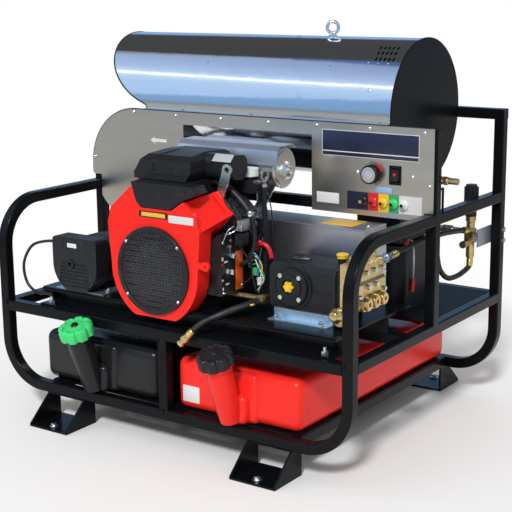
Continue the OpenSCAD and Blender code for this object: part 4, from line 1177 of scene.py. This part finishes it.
@dataclass
class Hoses:
    """Oil drain, breather and pressure hoses and the generator lead.

    Attributes:
        drain: Route of the oil drain hose.
        breather: Route of the breather hose.
        discharge: Route of the pump's discharge hose.
        bypass: Route of the hose from the unloader to the control box.
        coil: Route of the hose from the unloader to the drum's coil.
        lead: Route of the generator's lead.
    """

    drain: list = field(default_factory=lambda: [
        (258, -334, 444), (244, -368, 438), (200, -425, 420), (150, -462, 392), (118, -482, 356)])
    breather: list = field(default_factory=lambda: [
        (70, -300, 757), (92, -300, 756), (138, -300, 738), (178, -300, 708),
        (203, -298, 676), (212, -290, 615), (206, -298, 556), (172, -306, 528)])
    discharge: list = field(default_factory=lambda: [
        (540, -104, 560), (541, -40, 566), (556, 40, 576), (566, 140, 580), (567, 240, 572), (565, 330, 560)])
    bypass: list = field(default_factory=lambda: [
        (565, 350, 462), (565, 348, 446), (562, 318, 434), (560, 270, 428), (556, 215, 434),
        (550, 176, 470), (545, 162, 530), (545, 130, 590), (550, 70, 634), (558, 42, 664), (560, 37, 690)])
    coil: list = field(default_factory=lambda: [
        (474, 350, 552), (430, 350, 553), (370, 344, 570), (312, 312, 604),
        (276, 256, 634), (263, 212, 662), (262, 205, 692)])
    lead: list = field(default_factory=lambda: [
        (-436, -402, 540), (-470, -402, 542), (-540, -402, 520), (-580, -402, 460),
        (-570, -402, 400), (-530, -402, 374), (-490, -402, 376), (-462, -402, 376)])

    def ferrule(self, name: str, at: tuple, toward: tuple, radius: float, length: float) -> None:
        """A crimped yellow ferrule round a hose end.

        Args:
            name: Name of the piece.
            at: Where it starts, in millimetres.
            toward: A point that it points to.
            radius: Its radius.
            length: Its length.
        """
        aim = (Vector(toward) - Vector(at)).normalized()
        ribs = [(0, radius), (1.5, radius + 1)]
        count = max(2, int(length / 6))
        for k in range(count):
            z = 2 + (length - 4) * k / count
            ribs += [(z, radius + 1), (z + 1.5, radius + 1.6), (z + 3, radius + 1)]
        ribs.append((length, radius + 0.6))
        piece = Bench.turned(name, YELLOW_FERRULE, (0, 0, 0), ribs, sides=24)
        Bench.put(piece, at, Vector((0, 0, 1)).rotation_difference(aim).to_matrix().to_4x4())

    def build(self) -> None:
        """Builds the hoses with their sleeves and ferrules."""
        for name, points, radius in (
            ("drain_sleeve", [(255, -339, 443), (244, -368, 438), (222, -398, 429), (198, -425.5, 419.5)], 11.0),
            ("drain_sleeve_end", [(198, -425.5, 419.5), (174, -445, 406.5)], 9.4),
            ("breather_sleeve", [(76, -300, 757), *self.breather[1:4], (197, -299, 686)], 10.0),
        ):
            Bench.wire(name, HOSE, points, radius)
        Bench.cord("drain_hose", HOSE, self.drain, 8.0, "engine_hoses", far_end="fitting",
                   pieces=("drain_fitting", "drain_sleeve", "drain_sleeve_end"))
        Bench.cord("breather_hose", HOSE, self.breather, 7.0, "engine_hoses", pieces=("breather_sleeve",))
        for name, route in (("discharge", self.discharge), ("bypass", self.bypass), ("coil", self.coil)):
            Bench.cord(f"{name}_hose", HOSE, route, 8.0, "pressure_hoses")
        Bench.cord("generator_lead", HOSE, self.lead, 4.5, "generator_cord")
        for name, at, toward, radius, length in (
            ("drain_ferrule_low", (131, -475.5, 372), (118, -482, 356), 8.6, 22),
            ("drain_ferrule_high", (258, -330, 444), (252, -350, 441), 8.8, 22),
            ("discharge_ferrule_front", (540, -106, 560), (541, -80, 562), 8.8, 34),
            ("discharge_ferrule_back", (565.2, 300, 565), (565, 330, 560), 8.8, 30),
            ("bypass_ferrule", (565, 350, 470), (565, 349, 446), 8.8, 24),
            ("coil_ferrule_low", (474, 350, 552), (450, 350, 552.5), 8.8, 28),
            ("coil_ferrule_high", (262, 205, 692), (263, 210, 665), 8.8, 26),
        ):
            self.ferrule(name, at, toward, radius, length)
        log.info("hoses ready")


@dataclass
class HeaterDrum:
    """Edge bead, screws and rivets of the polished drum.

    Attributes:
        radius: Drum radius.
        centre: Y and Z of its axis.
        left: X of the straight cut of the wrap.
        right: X of the right end; not used.
        hood: X, Z and radius of the hood's round outline.
    """

    radius: float = 209.0
    centre: tuple = (205.0, 928.0)
    left: float = -404.0
    right: float = 478.0
    hood: tuple = (-308.0, 1207.0, 303.0)

    def edge_point(self, turn: float) -> tuple:
        """Point on the hood's edge.

        Args:
            turn: Degrees round the drum from the top towards the front.

        Returns:
            The point in millimetres.
        """
        y = self.centre[0] - self.radius * math.sin(math.radians(turn))
        z = self.centre[1] + self.radius * math.cos(math.radians(turn))
        x_mid, z_mid, r = self.hood
        reach = r * r - (z - z_mid) ** 2
        x = min(self.left, x_mid - math.sqrt(reach)) if reach > 0 else self.left
        return (x, y, z)

    def build(self) -> None:
        """Builds the details."""
        bead = [self.edge_point(turn) for turn in range(-80, 97, 4)]
        Bench.wire("hood_edge_bead", EDGE_TRIM, [self._inner(p) for p in bead], 3.4, steps=2)
        for index, (x, turn) in enumerate(((-190, 52), (60, 8), (250, 52), (400, 70))):
            self.rivet(f"drum_screw_{index}", x, turn)
        for index in range(3):
            self.rivet(f"drum_rivet_{index}", 372 + 32 * index, 46, size=2.6)
        log.info("drum ready")

    def _inner(self, point: tuple) -> tuple:
        """The point moved inwards by the bead's radius so that it keeps to the wrap's outline."""
        x, y, z = point
        away = Vector((0.0, y - self.centre[0], z - self.centre[1])).normalized() * 2.0
        return (x + 1.6, y - away.y, z - away.z)

    def rivet(self, name: str, x: float, turn: float, size: float = 4.5) -> None:
        """A small domed head on the wrap.

        Args:
            name: Name of the piece.
            x: Place along the drum.
            turn: Degrees from the top towards the front.
            size: Radius of the head.
        """
        steps = [(0, size), (size * 0.25, size), (size * 0.5, size * 0.8), (size * 0.62, size * 0.4)]
        piece = Bench.turned(name, ZINC, (0, 0, 0), steps, sides=16)
        tip = Matrix.Rotation(math.radians(turn), 4, "X")
        Bench.put(piece, (x, *self.centre), tip @ Matrix.Translation((0, 0, self.radius * MM)))


@dataclass
class ControlPanel:
    """Prints, dial and switch mark of the control panel.

    Attributes:
        left: X of its left end.
        right: X of its right end.
        round: Radius of its upper left corner.
    """

    left: float = -628.0
    right: float = 620.0
    round: float = 185.0

    def build(self) -> None:
        """Builds the details."""
        front = PANEL_FACE - 1.2
        for name, finish, x, y, z, edge in (
            ("banner_rim", WHITE_PLATE, (262.4, 576.6), (front - 0.15, front), (811.4, 885.6), 0.1),
            ("banner_sign", BANNER, (264, 575), (front - 0.4, front), (813, 884), 0.2),
            ("white_sign", WHITE_PLATE, (244, 319), (front - 0.3, front), (671, 702), 0.2),
            ("blue_sign", BLUE_PLATE, (440, 492), (front - 0.2, front + 0.2), (717, 733), 0.2),
            ("arrow_backing", WHITE_PLATE, (-390, -311), (-13.2, -12.98), (796, 828), 0.05),
        ):
            Bench.plate(name, finish, x, y, z, edge)
        self.knob()
        self.rocker()
        for index, letter in enumerate("abcde"):
            self.nozzle_collar(index, letter)
        self.trim()
        self.outlet()
        log.info("panel ready")

    def knob(self) -> None:
        """Knurled disc, rim and printed scale of the thermostat knob."""
        Bench.turned(
            "dial_face_plate", DIAL, (DIAL_X, PANEL_FACE - 26, DIAL_Z),
            [(0, 22), (0.8, 22), (1.2, 20), (1.0, 17), (1.6, 12), (1.7, 4)], axis=Axis.FRONT, body="thermostat",
            sides=48,
        )
        Bench.ring("dial_rim", GRAINED, (DIAL_X, PANEL_FACE - 24, DIAL_Z), 25.5, 1.6, axis=Axis.FRONT,
                   body="thermostat")
        Bench.turned("dial_scale", SCALE, (DIAL_X, PANEL_FACE, DIAL_Z),
                     [(0, 35), (0.25, 35), (0.25, 31), (0.05, 31)], axis=Axis.FRONT, sides=64)

    def rocker(self) -> None:
        """Rim and red lens of the rocker switch."""
        Bench.turned("switch_lens", SWITCH_RED, (502, PANEL_FACE - 5.2, 771),
                     [(0, 5), (1.4, 5), (2.2, 3.6), (2.5, 1.5)], axis=Axis.FRONT, sides=24, body="rocker")
        Bench.plate("switch_lip", SWITCH_BLACK, (490.5, 513.5), (PANEL_FACE - 9.6, PANEL_FACE - 7), (752.5, 757),
                    edge=0.8, body="rocker")
        for name, x, z in (("left", (485.2, 488.6), (744, 794)), ("right", (515.4, 518.8), (744, 794)),
                           ("low", (485.2, 518.8), (744, 748.5)), ("top", (485.2, 518.8), (789.5, 794))):
            Bench.plate(f"switch_frame_{name}", SWITCH_BLACK, x, (PANEL_FACE - 2.2, PANEL_FACE), z, edge=0.6)

    def nozzle_collar(self, index: int, letter: str) -> None:
        """A quick-connect collar round one nozzle, with a disc in its bore: brass in the first nozzle, and black in
        the others as painted shade inside the bore.

        Args:
            index: Place from the left.
            letter: Letter of the nozzle's node and body.
        """
        node = f"nozzle_{letter}"
        finish = NODE_FINISH[node]
        place = (NOZZLE_X + NOZZLE_PITCH * index, PANEL_FACE - 3.4, NOZZLE_Z)
        Bench.turned(
            f"{node}_collar", finish, place,
            [(0, 12), (0, 14.6), (2.5, 15), (5, 14.6), (6.5, 13), (7.5, 11.4), (8.4, 7.6)],
            axis=Axis.FRONT, sides=36, body=node,
        )
        # Except in the first nozzle, the bore disc is black: painted shade inside the nozzle's bore.
        Bench.turned(f"{node}_bore", BRASS if letter == "a" else SWITCH_BLACK, (place[0], PANEL_FACE - 21.2, NOZZLE_Z),
                     [(0, 5.4), (0.5, 5.2), (0.7, 3.2), (0.2, 2.4)], axis=Axis.FRONT, sides=20, body=node)

    def trim(self) -> None:
        """Black edging over the panel's top and round its left end."""
        corner = PANEL_TOP - self.round
        arc = [
            (self.left + self.round * (1 - math.cos(math.radians(a))) - 0.5, PANEL_FACE + 2,
             corner + self.round * math.sin(math.radians(a)) + 0.5)
            for a in range(0, 91, 10)
        ]
        rise = [(self.left - 0.5, PANEL_FACE + 2, z) for z in range(690, int(corner), 10)]
        end = self.left + self.round
        top = [(end + (self.right - end) * k / 60, PANEL_FACE + 2, PANEL_TOP + 0.5) for k in range(1, 61)]
        Bench.wire("panel_edging", EDGE_TRIM, [*rise, *arc, *top], 2.4, steps=2)

    def outlet(self) -> None:
        """Collar and bead of the outlet nipple behind the panel's right end."""
        Bench.turned("outlet_collar", BRIGHT, (617, 36, 758), [(0, 12), (9, 12), (10.5, 11), (10.6, 9.2)],
                     axis=Axis.X, sides=6, edge=0.6)
        Bench.ring("outlet_bead", BRASS, (641, 36, 758), 9.4, 1.6, axis=Axis.X)


@dataclass
class Engine:
    """Screen mesh, prints, clamps and leads of the engine.

    Attributes:
        crank: X and Z of the crankshaft.
        face: Y of the fan cover's front.
    """

    crank: tuple = (-22.0, 516.0)
    face: float = -450.0

    def build(self) -> None:
        """Builds the details."""
        x, z = self.crank
        Bench.turned(
            "screen_sheet", SCREEN, (x, self.face - 5, z),
            [(0, 116), (0.6, 116), (1.2, 60), (1.6, 20)], axis=Axis.FRONT, sides=64,
        )
        Bench.ring("screen_rim", GRAINED, (x, self.face - 6.5, z), 120.5, 3.2, axis=Axis.FRONT, squash=0.8)
        self.cover_signs()
        self.cleaner_details()
        self.side_panel()
        self.wiring()
        self.exhaust()
        log.info("engine ready")

    def cover_signs(self) -> None:
        """Bare sign fields on the fan cover, and black pieces on its shield that paint the shade in its groove and
        inside its window hole.
        """
        front = self.face
        for name, finish, x, y, z, edge in (
            ("cover_strip_rim", SWITCH_BLACK, (-70, 32), (front - 0.5, front), (666, 684.5), 0.2),
            ("cover_strip", AMBER_PLATE, (-60, 24), (front - 0.8, front), (669.5, 681), 0.2),
            ("cover_plate", SILVER_PLATE, (36, 122), (front - 0.8, front), (659, 680), 0.3),
            # The two black pieces on the shield are painted shade: a strip for the shade in its groove and a block for
            # the shade inside its window hole.
            ("shield_groove_shade_strip", SWITCH_BLACK, (-66, 46), (-454.2, -453), (727, 729.5), 0.3),
            ("shield_window_shade_block", SWITCH_BLACK, (66, 96), (-454.0, -453), (738, 756), 2.0),
        ):
            Bench.plate(name, finish, x, y, z, edge)

    def cleaner_details(self) -> None:
        """Label and seams of the air cleaner."""
        tilt = Matrix.Rotation(math.radians(-45), 4, "X")
        label = Bench.plate("cleaner_label", GREY_PLATE, (-31, 33), (-0.6, 0.2), (-13.5, 13.5), edge=0.4)
        Bench.put(label, (135, -329.4, 830.4), tilt)
        seam = [(-121.5, -404, 784), (-60, -404.8, 783), (0, -404.8, 783), (60, -404.6, 783), (72, -402, 784)]
        Bench.wire("cleaner_seam", SWITCH_BLACK, seam, 1.6)
        crease = [(-52, -404.5, 790), (-51, -403, 815), (-48, -392, 828), (-44, -376, 834.6), (-36, -300, 841)]
        Bench.wire("cleaner_crease", GRAINED, crease, 1.2)

    def side_panel(self) -> None:
        """Key bezel, choke handle, marks and sign on the engine panel's right face."""
        face = 172.0
        Bench.plate("side_strip", ORANGE_PLATE, (174, 174.8), (-331, -297), (462, 572), edge=0.3)
        Bench.turned("key_bezel", SWITCH_BLACK, (face, -372, 524), [(0, 21), (3.5, 21), (5, 19), (5, 14.5)],
                     axis=Axis.X, sides=40)
        Bench.turned("choke_knob", BRIGHT, (176, -356, 566), [(0, 5), (6, 5), (7, 9), (14, 9.6), (18, 8), (19, 4)],
                     axis=Axis.X, sides=24, body="choke")
        marks = (
            ("mark_white_a", WIRE_WHITE, -388, 560, 7, 10), ("mark_white_b", WIRE_WHITE, -372, 550, 16, 5),
            ("mark_red", SWITCH_RED, -388, 543, 8, 8), ("mark_white_c", WIRE_WHITE, -388, 500, 7, 5),
            ("mark_white_d", WIRE_WHITE, -366, 486, 16, 5), ("mark_white_e", WIRE_WHITE, -387, 475, 6, 9),
        )
        for name, finish, y, z, wide, high in marks:
            Bench.plate(name, finish, (face - 0.2, face + 0.6), (y - wide / 2, y + wide / 2),
                        (z - high / 2, z + high / 2), edge=0.2)
        for index, (y, z) in enumerate(((-386, 606), (-300, 470), (-386, 463), (-350, 606))):
            Bench.turned(f"panel_bolt_{index}", ZINC, (face, y, z), [(0, 5.2), (1, 5.2), (3.4, 4.6), (3.6, 2)],
                         axis=Axis.X, sides=6, edge=0.3)

    def wiring(self) -> None:
        """Clamp, leads, plugs and linkages beside the engine, all at rest in every pose."""
        Bench.ring("breather_clamp", BRIGHT, (203, -298, 676), 9.4, 2.4, axis=Axis.Z, squash=3.0)
        Bench.wire("plug_boot", LEAD_RED,
                   [(196, -262, 566), (205, -262, 582), (222, -261, 586), (238, -259, 574), (246, -257, 548)], 6.4)
        Bench.wire("plug_boot_fold", LEAD_RED, [(198, -268, 572), (206, -268, 590), (216, -264, 592)], 5.0)
        leads = (
            ("lead_blue", WIRE_BLUE, 1.9,
             [(190, -296, 548), (206, -300, 566), (222, -298, 562), (230, -292, 540),
              (224, -288, 512), (212, -284, 486)]),
            ("lead_yellow", WIRE_YELLOW, 1.9,
             [(192, -292, 540), (210, -296, 558), (227, -294, 550), (235, -288, 526),
              (226, -284, 496), (214, -280, 470)]),
            ("lead_white", WIRE_WHITE, 1.8,
             [(190, -290, 530), (212, -292, 548), (222, -290, 528), (232, -286, 506),
              (236, -284, 486), (215, -282, 456)]),
            ("lead_green", WIRE_GREEN, 1.8,
             [(190, -288, 522), (216, -290, 534), (234, -286, 514), (240, -284, 494),
              (228, -280, 474), (214, -278, 448)]),
            ("loom_a", HOSE, 3.2,
             [(180, -330, 596), (196, -322, 572), (206, -304, 540), (204, -292, 500), (214, -286, 452)]),
            ("loom_b", EDGE_TRIM, 2.4, [(178, -300, 474), (206, -292, 500), (216, -276, 540), (208, -244, 600)]),
            ("stop_cable_a", EDGE_TRIM, 1.8,
             [(206, -232, 744), (224, -234, 710), (236, -238, 660), (238, -240, 610),
              (236, -238, 560), (214, -228, 508)]),
            ("stop_cable_b", EDGE_TRIM, 1.6,
             [(206, -240, 742), (218, -242, 700), (222, -244, 650), (206, -262, 604), (196, -280, 590)]),
            ("spark_lead_a", HOSE, 4.2,
             [(150, -344, 716), (168, -348, 700), (188, -340, 672), (198, -322, 640), (196, -300, 612)]),
            ("spark_lead_b", HOSE, 3.6,
             [(168, -330, 700), (190, -326, 668), (206, -310, 640), (210, -290, 606), (202, -274, 578)]),
        )
        for name, finish, radius, points in leads:
            Bench.wire(name, finish, points, radius)
        plugs = (
            ("plug_green", WIRE_GREEN, (206, 222), (-296, -284), (500, 524)),
            ("plug_white", WIRE_WHITE, (220, 232), (-292, -282), (474, 496)),
            ("plug_black", GRAINED, (196, 216), (-302, -288), (548, 566)),
            ("governor_arm", BRIGHT, (201, 204), (-360, -330), (640, 652)),
            ("governor_link", BRIGHT, (201, 205), (-336, -306), (616, 626)),
            ("coil_pack", GRAINED, (188, 212), (-352, -318), (596, 628)),
            ("regulator", ALLOY_CAST, (192, 208), (-346, -306), (634, 664)),
        )
        for name, finish, x, y, z in plugs:
            Bench.plate(name, finish, x, y, z, edge=1.6, rim=2.0, raise_by=-0.8)
        rod = [(176, -380, 628), (190, -372, 632), (202, -356, 644), (206, -330, 650)]
        Bench.wire("throttle_rod", BRIGHT, rod, 1.6)
        Bench.wire("choke_rod", BRIGHT, [(176, -388, 612), (186, -380, 640), (196, -366, 652)], 1.6)
        Bench.ring("drain_band", YELLOW_CAP, (246.5, -363, 438.5), 11.0, 1.6, squash=2.0)
        for index, z in enumerate((560, 600, 640, 684)):
            Bench.ring(f"loom_band_{index}", GRAINED, (208, -262 - index * 6, z), 4.2, 1.2, squash=2.0)

    def exhaust(self) -> None:
        """End boss, seam and shield screw of the silencer."""
        Bench.turned("silencer_boss", MUFFLER_SKIN, (211, -130, 774),
                     [(0, 27), (3, 27), (6, 24), (9, 18), (10, 15), (21, 14.6), (21.4, 11), (15, 10.4), (14.8, 2)],
                     axis=Axis.X, sides=48)
        Bench.ring("silencer_seam", MUFFLER_SKIN, (203, -130, 782), 57.2, 1.6, axis=Axis.X, squash=1.6)
        Bench.turned("shield_screw", ZINC, (150, -170, 822), [(0, 7), (1.4, 7), (3.6, 5), (4.2, 2)], sides=24)


@dataclass
class PumpUnit:
    """Prints and small parts of the pump, generator and guard."""

    def build(self) -> None:
        """Builds the details."""
        Bench.turned("guard_sign_stud", ZINC, (458, -86, 631), [(0, 6), (2.5, 6), (4, 4)], sides=6, edge=0.4)
        for name, finish, x, y, z, edge in (
            ("guard_sign", AMBER_PLATE, (318, 422), (-114, -28), (631, 631.8), 0.2),
            ("generator_sign", WHITE_PLATE, (-366, -330), (-432.4, -431), (540, 553), 0.2),
            ("crankcase_tag", BRIGHT, (322, 370), (-268, -248), (560, 560.8), 0.3),
            ("crankcase_tag_field", SWITCH_BLACK, (332, 350), (-264, -252), (560.7, 561.2), 0.2),
        ):
            Bench.plate(name, finish, x, y, z, edge)
        self.guard_seams()
        for name, y, radius, thick in (("bearing_rim", -338.5, 50, 2.2), ("bearing_inner_rim", -340.5, 26, 1.8)):
            Bench.ring(name, BLACK_CAST, (361, y, 496), radius, thick, axis=Axis.FRONT, squash=0.8)
        Bench.turned("oil_cap_rim", YELLOW_CAP, (466, -240, 577), [(0, 15.4), (1.5, 17), (5, 17), (6.4, 15), (5.6, 9),
                     (5.4, 3)], sides=16, body="pump_oil_lid")
        self.inlet_fitting()
        self.battery_lead()
        log.info("pump and generator ready")

    def guard_seams(self) -> None:
        """Folded edges of the belt guard."""
        top, front, right = 630.4, -149.2, 479.4
        for name, points, radius in (
            ("front", [(70 + 20.4 * k, front, top) for k in range(21)], 2.0),
            ("right", [(right, -149 + 12.6 * k, top) for k in range(11)], 1.8),
            ("corner", [(479.2, front, 406 + 22.4 * k) for k in range(11)], 1.6),
        ):
            Bench.wire(f"guard_fold_{name}", GUARD_SHEET, points, radius, steps=1)

    def inlet_fitting(self) -> None:
        """Hose barb of the pump's inlet elbow."""
        steps = [(-14, 15), (-8, 17.5), (0, 17.5), (6, 19.5), (14, 20.5), (22, 19.5), (26, 15), (34, 13), (36, 9)]
        Bench.turned("inlet_barb", BRASS, (525, -352, 448), steps, axis=Axis.FRONT, sides=32, edge=0.5)

    def battery_lead(self) -> None:
        """Leads and red boot of the battery."""
        Bench.wire("battery_lead", LEAD_GREY, [(476, 104, 556), (490, 104, 562), (499, 106, 548), (500.5, 108, 500),
                   (498, 110, 450), (494, 111, 424)], 2.8)
        Bench.wire("battery_boot", LEAD_RED, [(498, 110, 446), (496.5, 111, 424), (495.5, 111, 406)], 5.5)
        for name, finish, y in (("red", LEAD_RED, 104), ("black", EDGE_TRIM, 248)):
            Bench.turned(f"terminal_{name}", finish, (476, y, 548), [(0, 10), (8, 10), (11, 7), (12, 3)], sides=24)

@dataclass
class Tanks:
    """Moulded fuel tanks with their caps and a blank label.

    Attributes:
        diesel: X of the diesel tank's neck.
        petrol: X of the petrol tank's neck.
        neck: Y and Z of the necks' foot.
        tilt: Lean of the necks in degrees.
        cap_radius: Radius of the caps.
        round: Rounding of the bodies.
        depth: Limits of the bodies along Y.
        height: Limits of the bodies along Z.
        channels: Y of each channel over the top.
        channel: Z of the channels' axis and their radius.
        lobes: Number and depth of the caps' grip hollows.
    """

    diesel: float = -265.0
    petrol: float = 237.5
    neck: tuple = (-443.0, 120.0)
    tilt: float = 20.0
    cap_radius: float = 51.5
    round: float = 28.0
    depth: tuple = (-424.0, 436.0)
    height: tuple = (116.3, 268.3)
    channels: tuple = (-150, 60, 270)
    channel: tuple = (280.3, 22.0)
    lobes: tuple = (8, 7.0)

    def lean(self, x: float) -> Matrix:
        """Place of a neck's own frame in metres."""
        return Matrix.Translation(Vector((x, *self.neck)) * MM) @ Matrix.Rotation(math.radians(self.tilt), 4, "X")

    def cap(self, name: str, x: float, finish: Finish, button: Finish) -> None:
        """A scalloped screw cap with a vent button.

        Args:
            name: Tank's name.
            x: X of the neck.
            finish: Finish of the cap.
            button: Finish of the button.
        """
        r, (count, hollow) = self.cap_radius, self.lobes
        steps = [(196, r - 3), (198, r - 0.5), (208, r), (224, r), (229, r - 2.5), (232, r - 7), (232.5, r - 10),
                 (230.5, r - 13), (230, r - 26), (231.5, r - 30), (232, 12)]
        piece = Bench.turned(f"{name}_cap_shell", finish, (0, 0, 0), steps, sides=120, body=f"{name}_lid")
        for vertex in piece.data.vertices:
            flat = vertex.co.xy.length / MM
            if flat > r - 12:
                turn = math.atan2(vertex.co.y, vertex.co.x)
                wave = max(0.0, math.cos(count * turn)) ** 1.3
                pull = 1.0 - hollow * wave / flat
                vertex.co.x *= pull
                vertex.co.y *= pull
        piece.data.transform(self.lean(x))
        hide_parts(f"{name}_cap")
        dome = [(230, 12), (232, 12), (234.5, 11), (236.5, 8), (237, 3)]
        knob = Bench.turned(f"{name}_cap_shell_button", button, (0, 0, 0), dome, sides=24, body=f"{name}_lid")
        knob.data.transform(self.lean(x))

    def shell(self, name: str, limits: tuple, x: float, finish: Finish) -> None:
        """A moulded tank: rounded body with channels, boss and leaning neck.

        Args:
            name: Start of the pieces' names.
            limits: Body's limits along X.
            x: X of the neck.
            finish: The tank's finish.
        """
        body = Bench.plate(f"{name}_body", finish, limits, self.depth, self.height, edge=self.round, segments=7)
        Bench.grooved(body, self.channels, *self.channel)
        boss = Bench.plate(f"{name}_boss", finish, (x - 50, x + 50), (-455, -402), (116.5, 204), edge=20, segments=6)
        shoulder = Bench.plate(
            f"{name}_shoulder", finish, (x - 74, x + 74), (-432, -380), (117, 262), edge=17, segments=6
        )
        steps = [(12, 33), (60, 34.5), (180, 38), (190, 38.2), (190.4, 45), (195, 45), (195.4, 40), (219, 40),
                 (219.6, 33), (121, 32), (120, 3)]
        neck = Bench.turned(f"{name}_neck", finish, (0, 0, 0), steps, sides=72)
        neck.data.transform(self.lean(x))
        for piece in (body, boss, shoulder, neck):
            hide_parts(f"{name}_tank")

    def build(self) -> None:
        """Builds the tanks."""
        for name, limits, x, finish in (
            ("diesel", (-485, -45), self.diesel, SATIN_TANK), ("petrol", (28, 447), self.petrol, RED_TANK)
        ):
            self.shell(name, limits, x, finish)
        Bench.plate("petrol_sign", WHITE_PLATE, (52, 110), (-424.6, -423.8), (141, 189), edge=0.2)
        self.cap("diesel", self.diesel, GREEN_CAP, SWITCH_BLACK)
        self.cap("petrol", self.petrol, GRAINED, GRAINED)
        log.info("tanks ready")


@dataclass
class FrameDetails:
    """Weld beads and floor bolts of the frame.

    Attributes:
        foot: X and Y of the foot holes.
        pad: Z of the feet's top face.
        rail: Y of the side rails' outer face.
        bead: Z of the beads on the feet.
        seed: Seed of the beads' ripple.
    """

    foot: tuple = (371.0, 518.0)
    pad: float = 6.0
    rail: float = 461.0
    bead: float = 83.0
    seed: int = 7

    def weld(self, name: str, first: tuple, last: tuple, dice: random.Random, radius: float = 2.3) -> None:
        """A rippled weld bead between two points.

        Args:
            name: Name of the piece.
            first: One end in millimetres.
            last: The other end.
            dice: Source of the ripple.
            radius: Radius of the bead.
        """
        a, b = Vector(first), Vector(last)
        count = max(4, int((b - a).length / 4))
        points = [tuple(a.lerp(b, k / count) + Vector([dice.uniform(-0.7, 0.7) for _ in range(3)]))
                  for k in range(count + 1)]
        Bench.wire(name, FRAME_COAT, points, radius, steps=1)

    def build(self) -> None:
        """Builds the beads and bolts."""
        dice = random.Random(self.seed)
        x, y = self.foot
        for index, (sx, sy) in enumerate(((-1, -1), (1, -1), (-1, 1), (1, 1))):
            mid = sx * x
            y_rail, z = sy * self.rail, self.bead
            self.weld(f"foot_weld_{index}", (mid - 72, y_rail, z), (mid + 72, y_rail, z), dice)
            for side in (-1, 1):
                edge = mid + side * 71
                self.weld(f"foot_seam_{index}_{side + 1}", (edge, sy * 430, z - 2), (edge, sy * 460, z - 2), dice, 1.8)
            Bench.turned(f"floor_bolt_{index}", ZINC, (mid, sy * y, self.pad),
                         [(0, 13), (1.6, 13), (1.8, 10), (2.0, 10)], sides=32)
            Bench.turned(f"floor_bolt_head_{index}", ZINC, (mid, sy * y, self.pad + 2),
                         [(0, 9), (6, 9), (7.4, 7), (7.6, 3)], sides=6, edge=0.4)
        for index, (px, z) in enumerate(((-604, 351), (604, 351), (-6, 319), (6, 114))):
            self.weld(f"front_seam_{index}", (px, -self.rail, z - 14), (px, -self.rail, z + 2), dice, 1.8)
        log.info("frame ready")


def dress_nodes() -> None:
    """Gives every CAD node its finish."""
    for name, node in frame["nodes"].items():
        finish = NODE_FINISH[name]
        node.data.materials.clear()
        node.data.materials.append(finish.material())
    log.info("%d nodes dressed", len(frame["nodes"]))


def main() -> None:
    """Builds the studio, the cords, the dressed nodes and the details in order."""
    logging.basicConfig(level=logging.INFO, format="%(name)s: %(message)s")
    Studio().build()
    Hoses().build()
    dress_nodes()
    for part in (HeaterDrum(), ControlPanel(), Engine(), PumpUnit(), Tanks(), FrameDetails()):
        part.build()


if __name__ == "__main__":
    main()
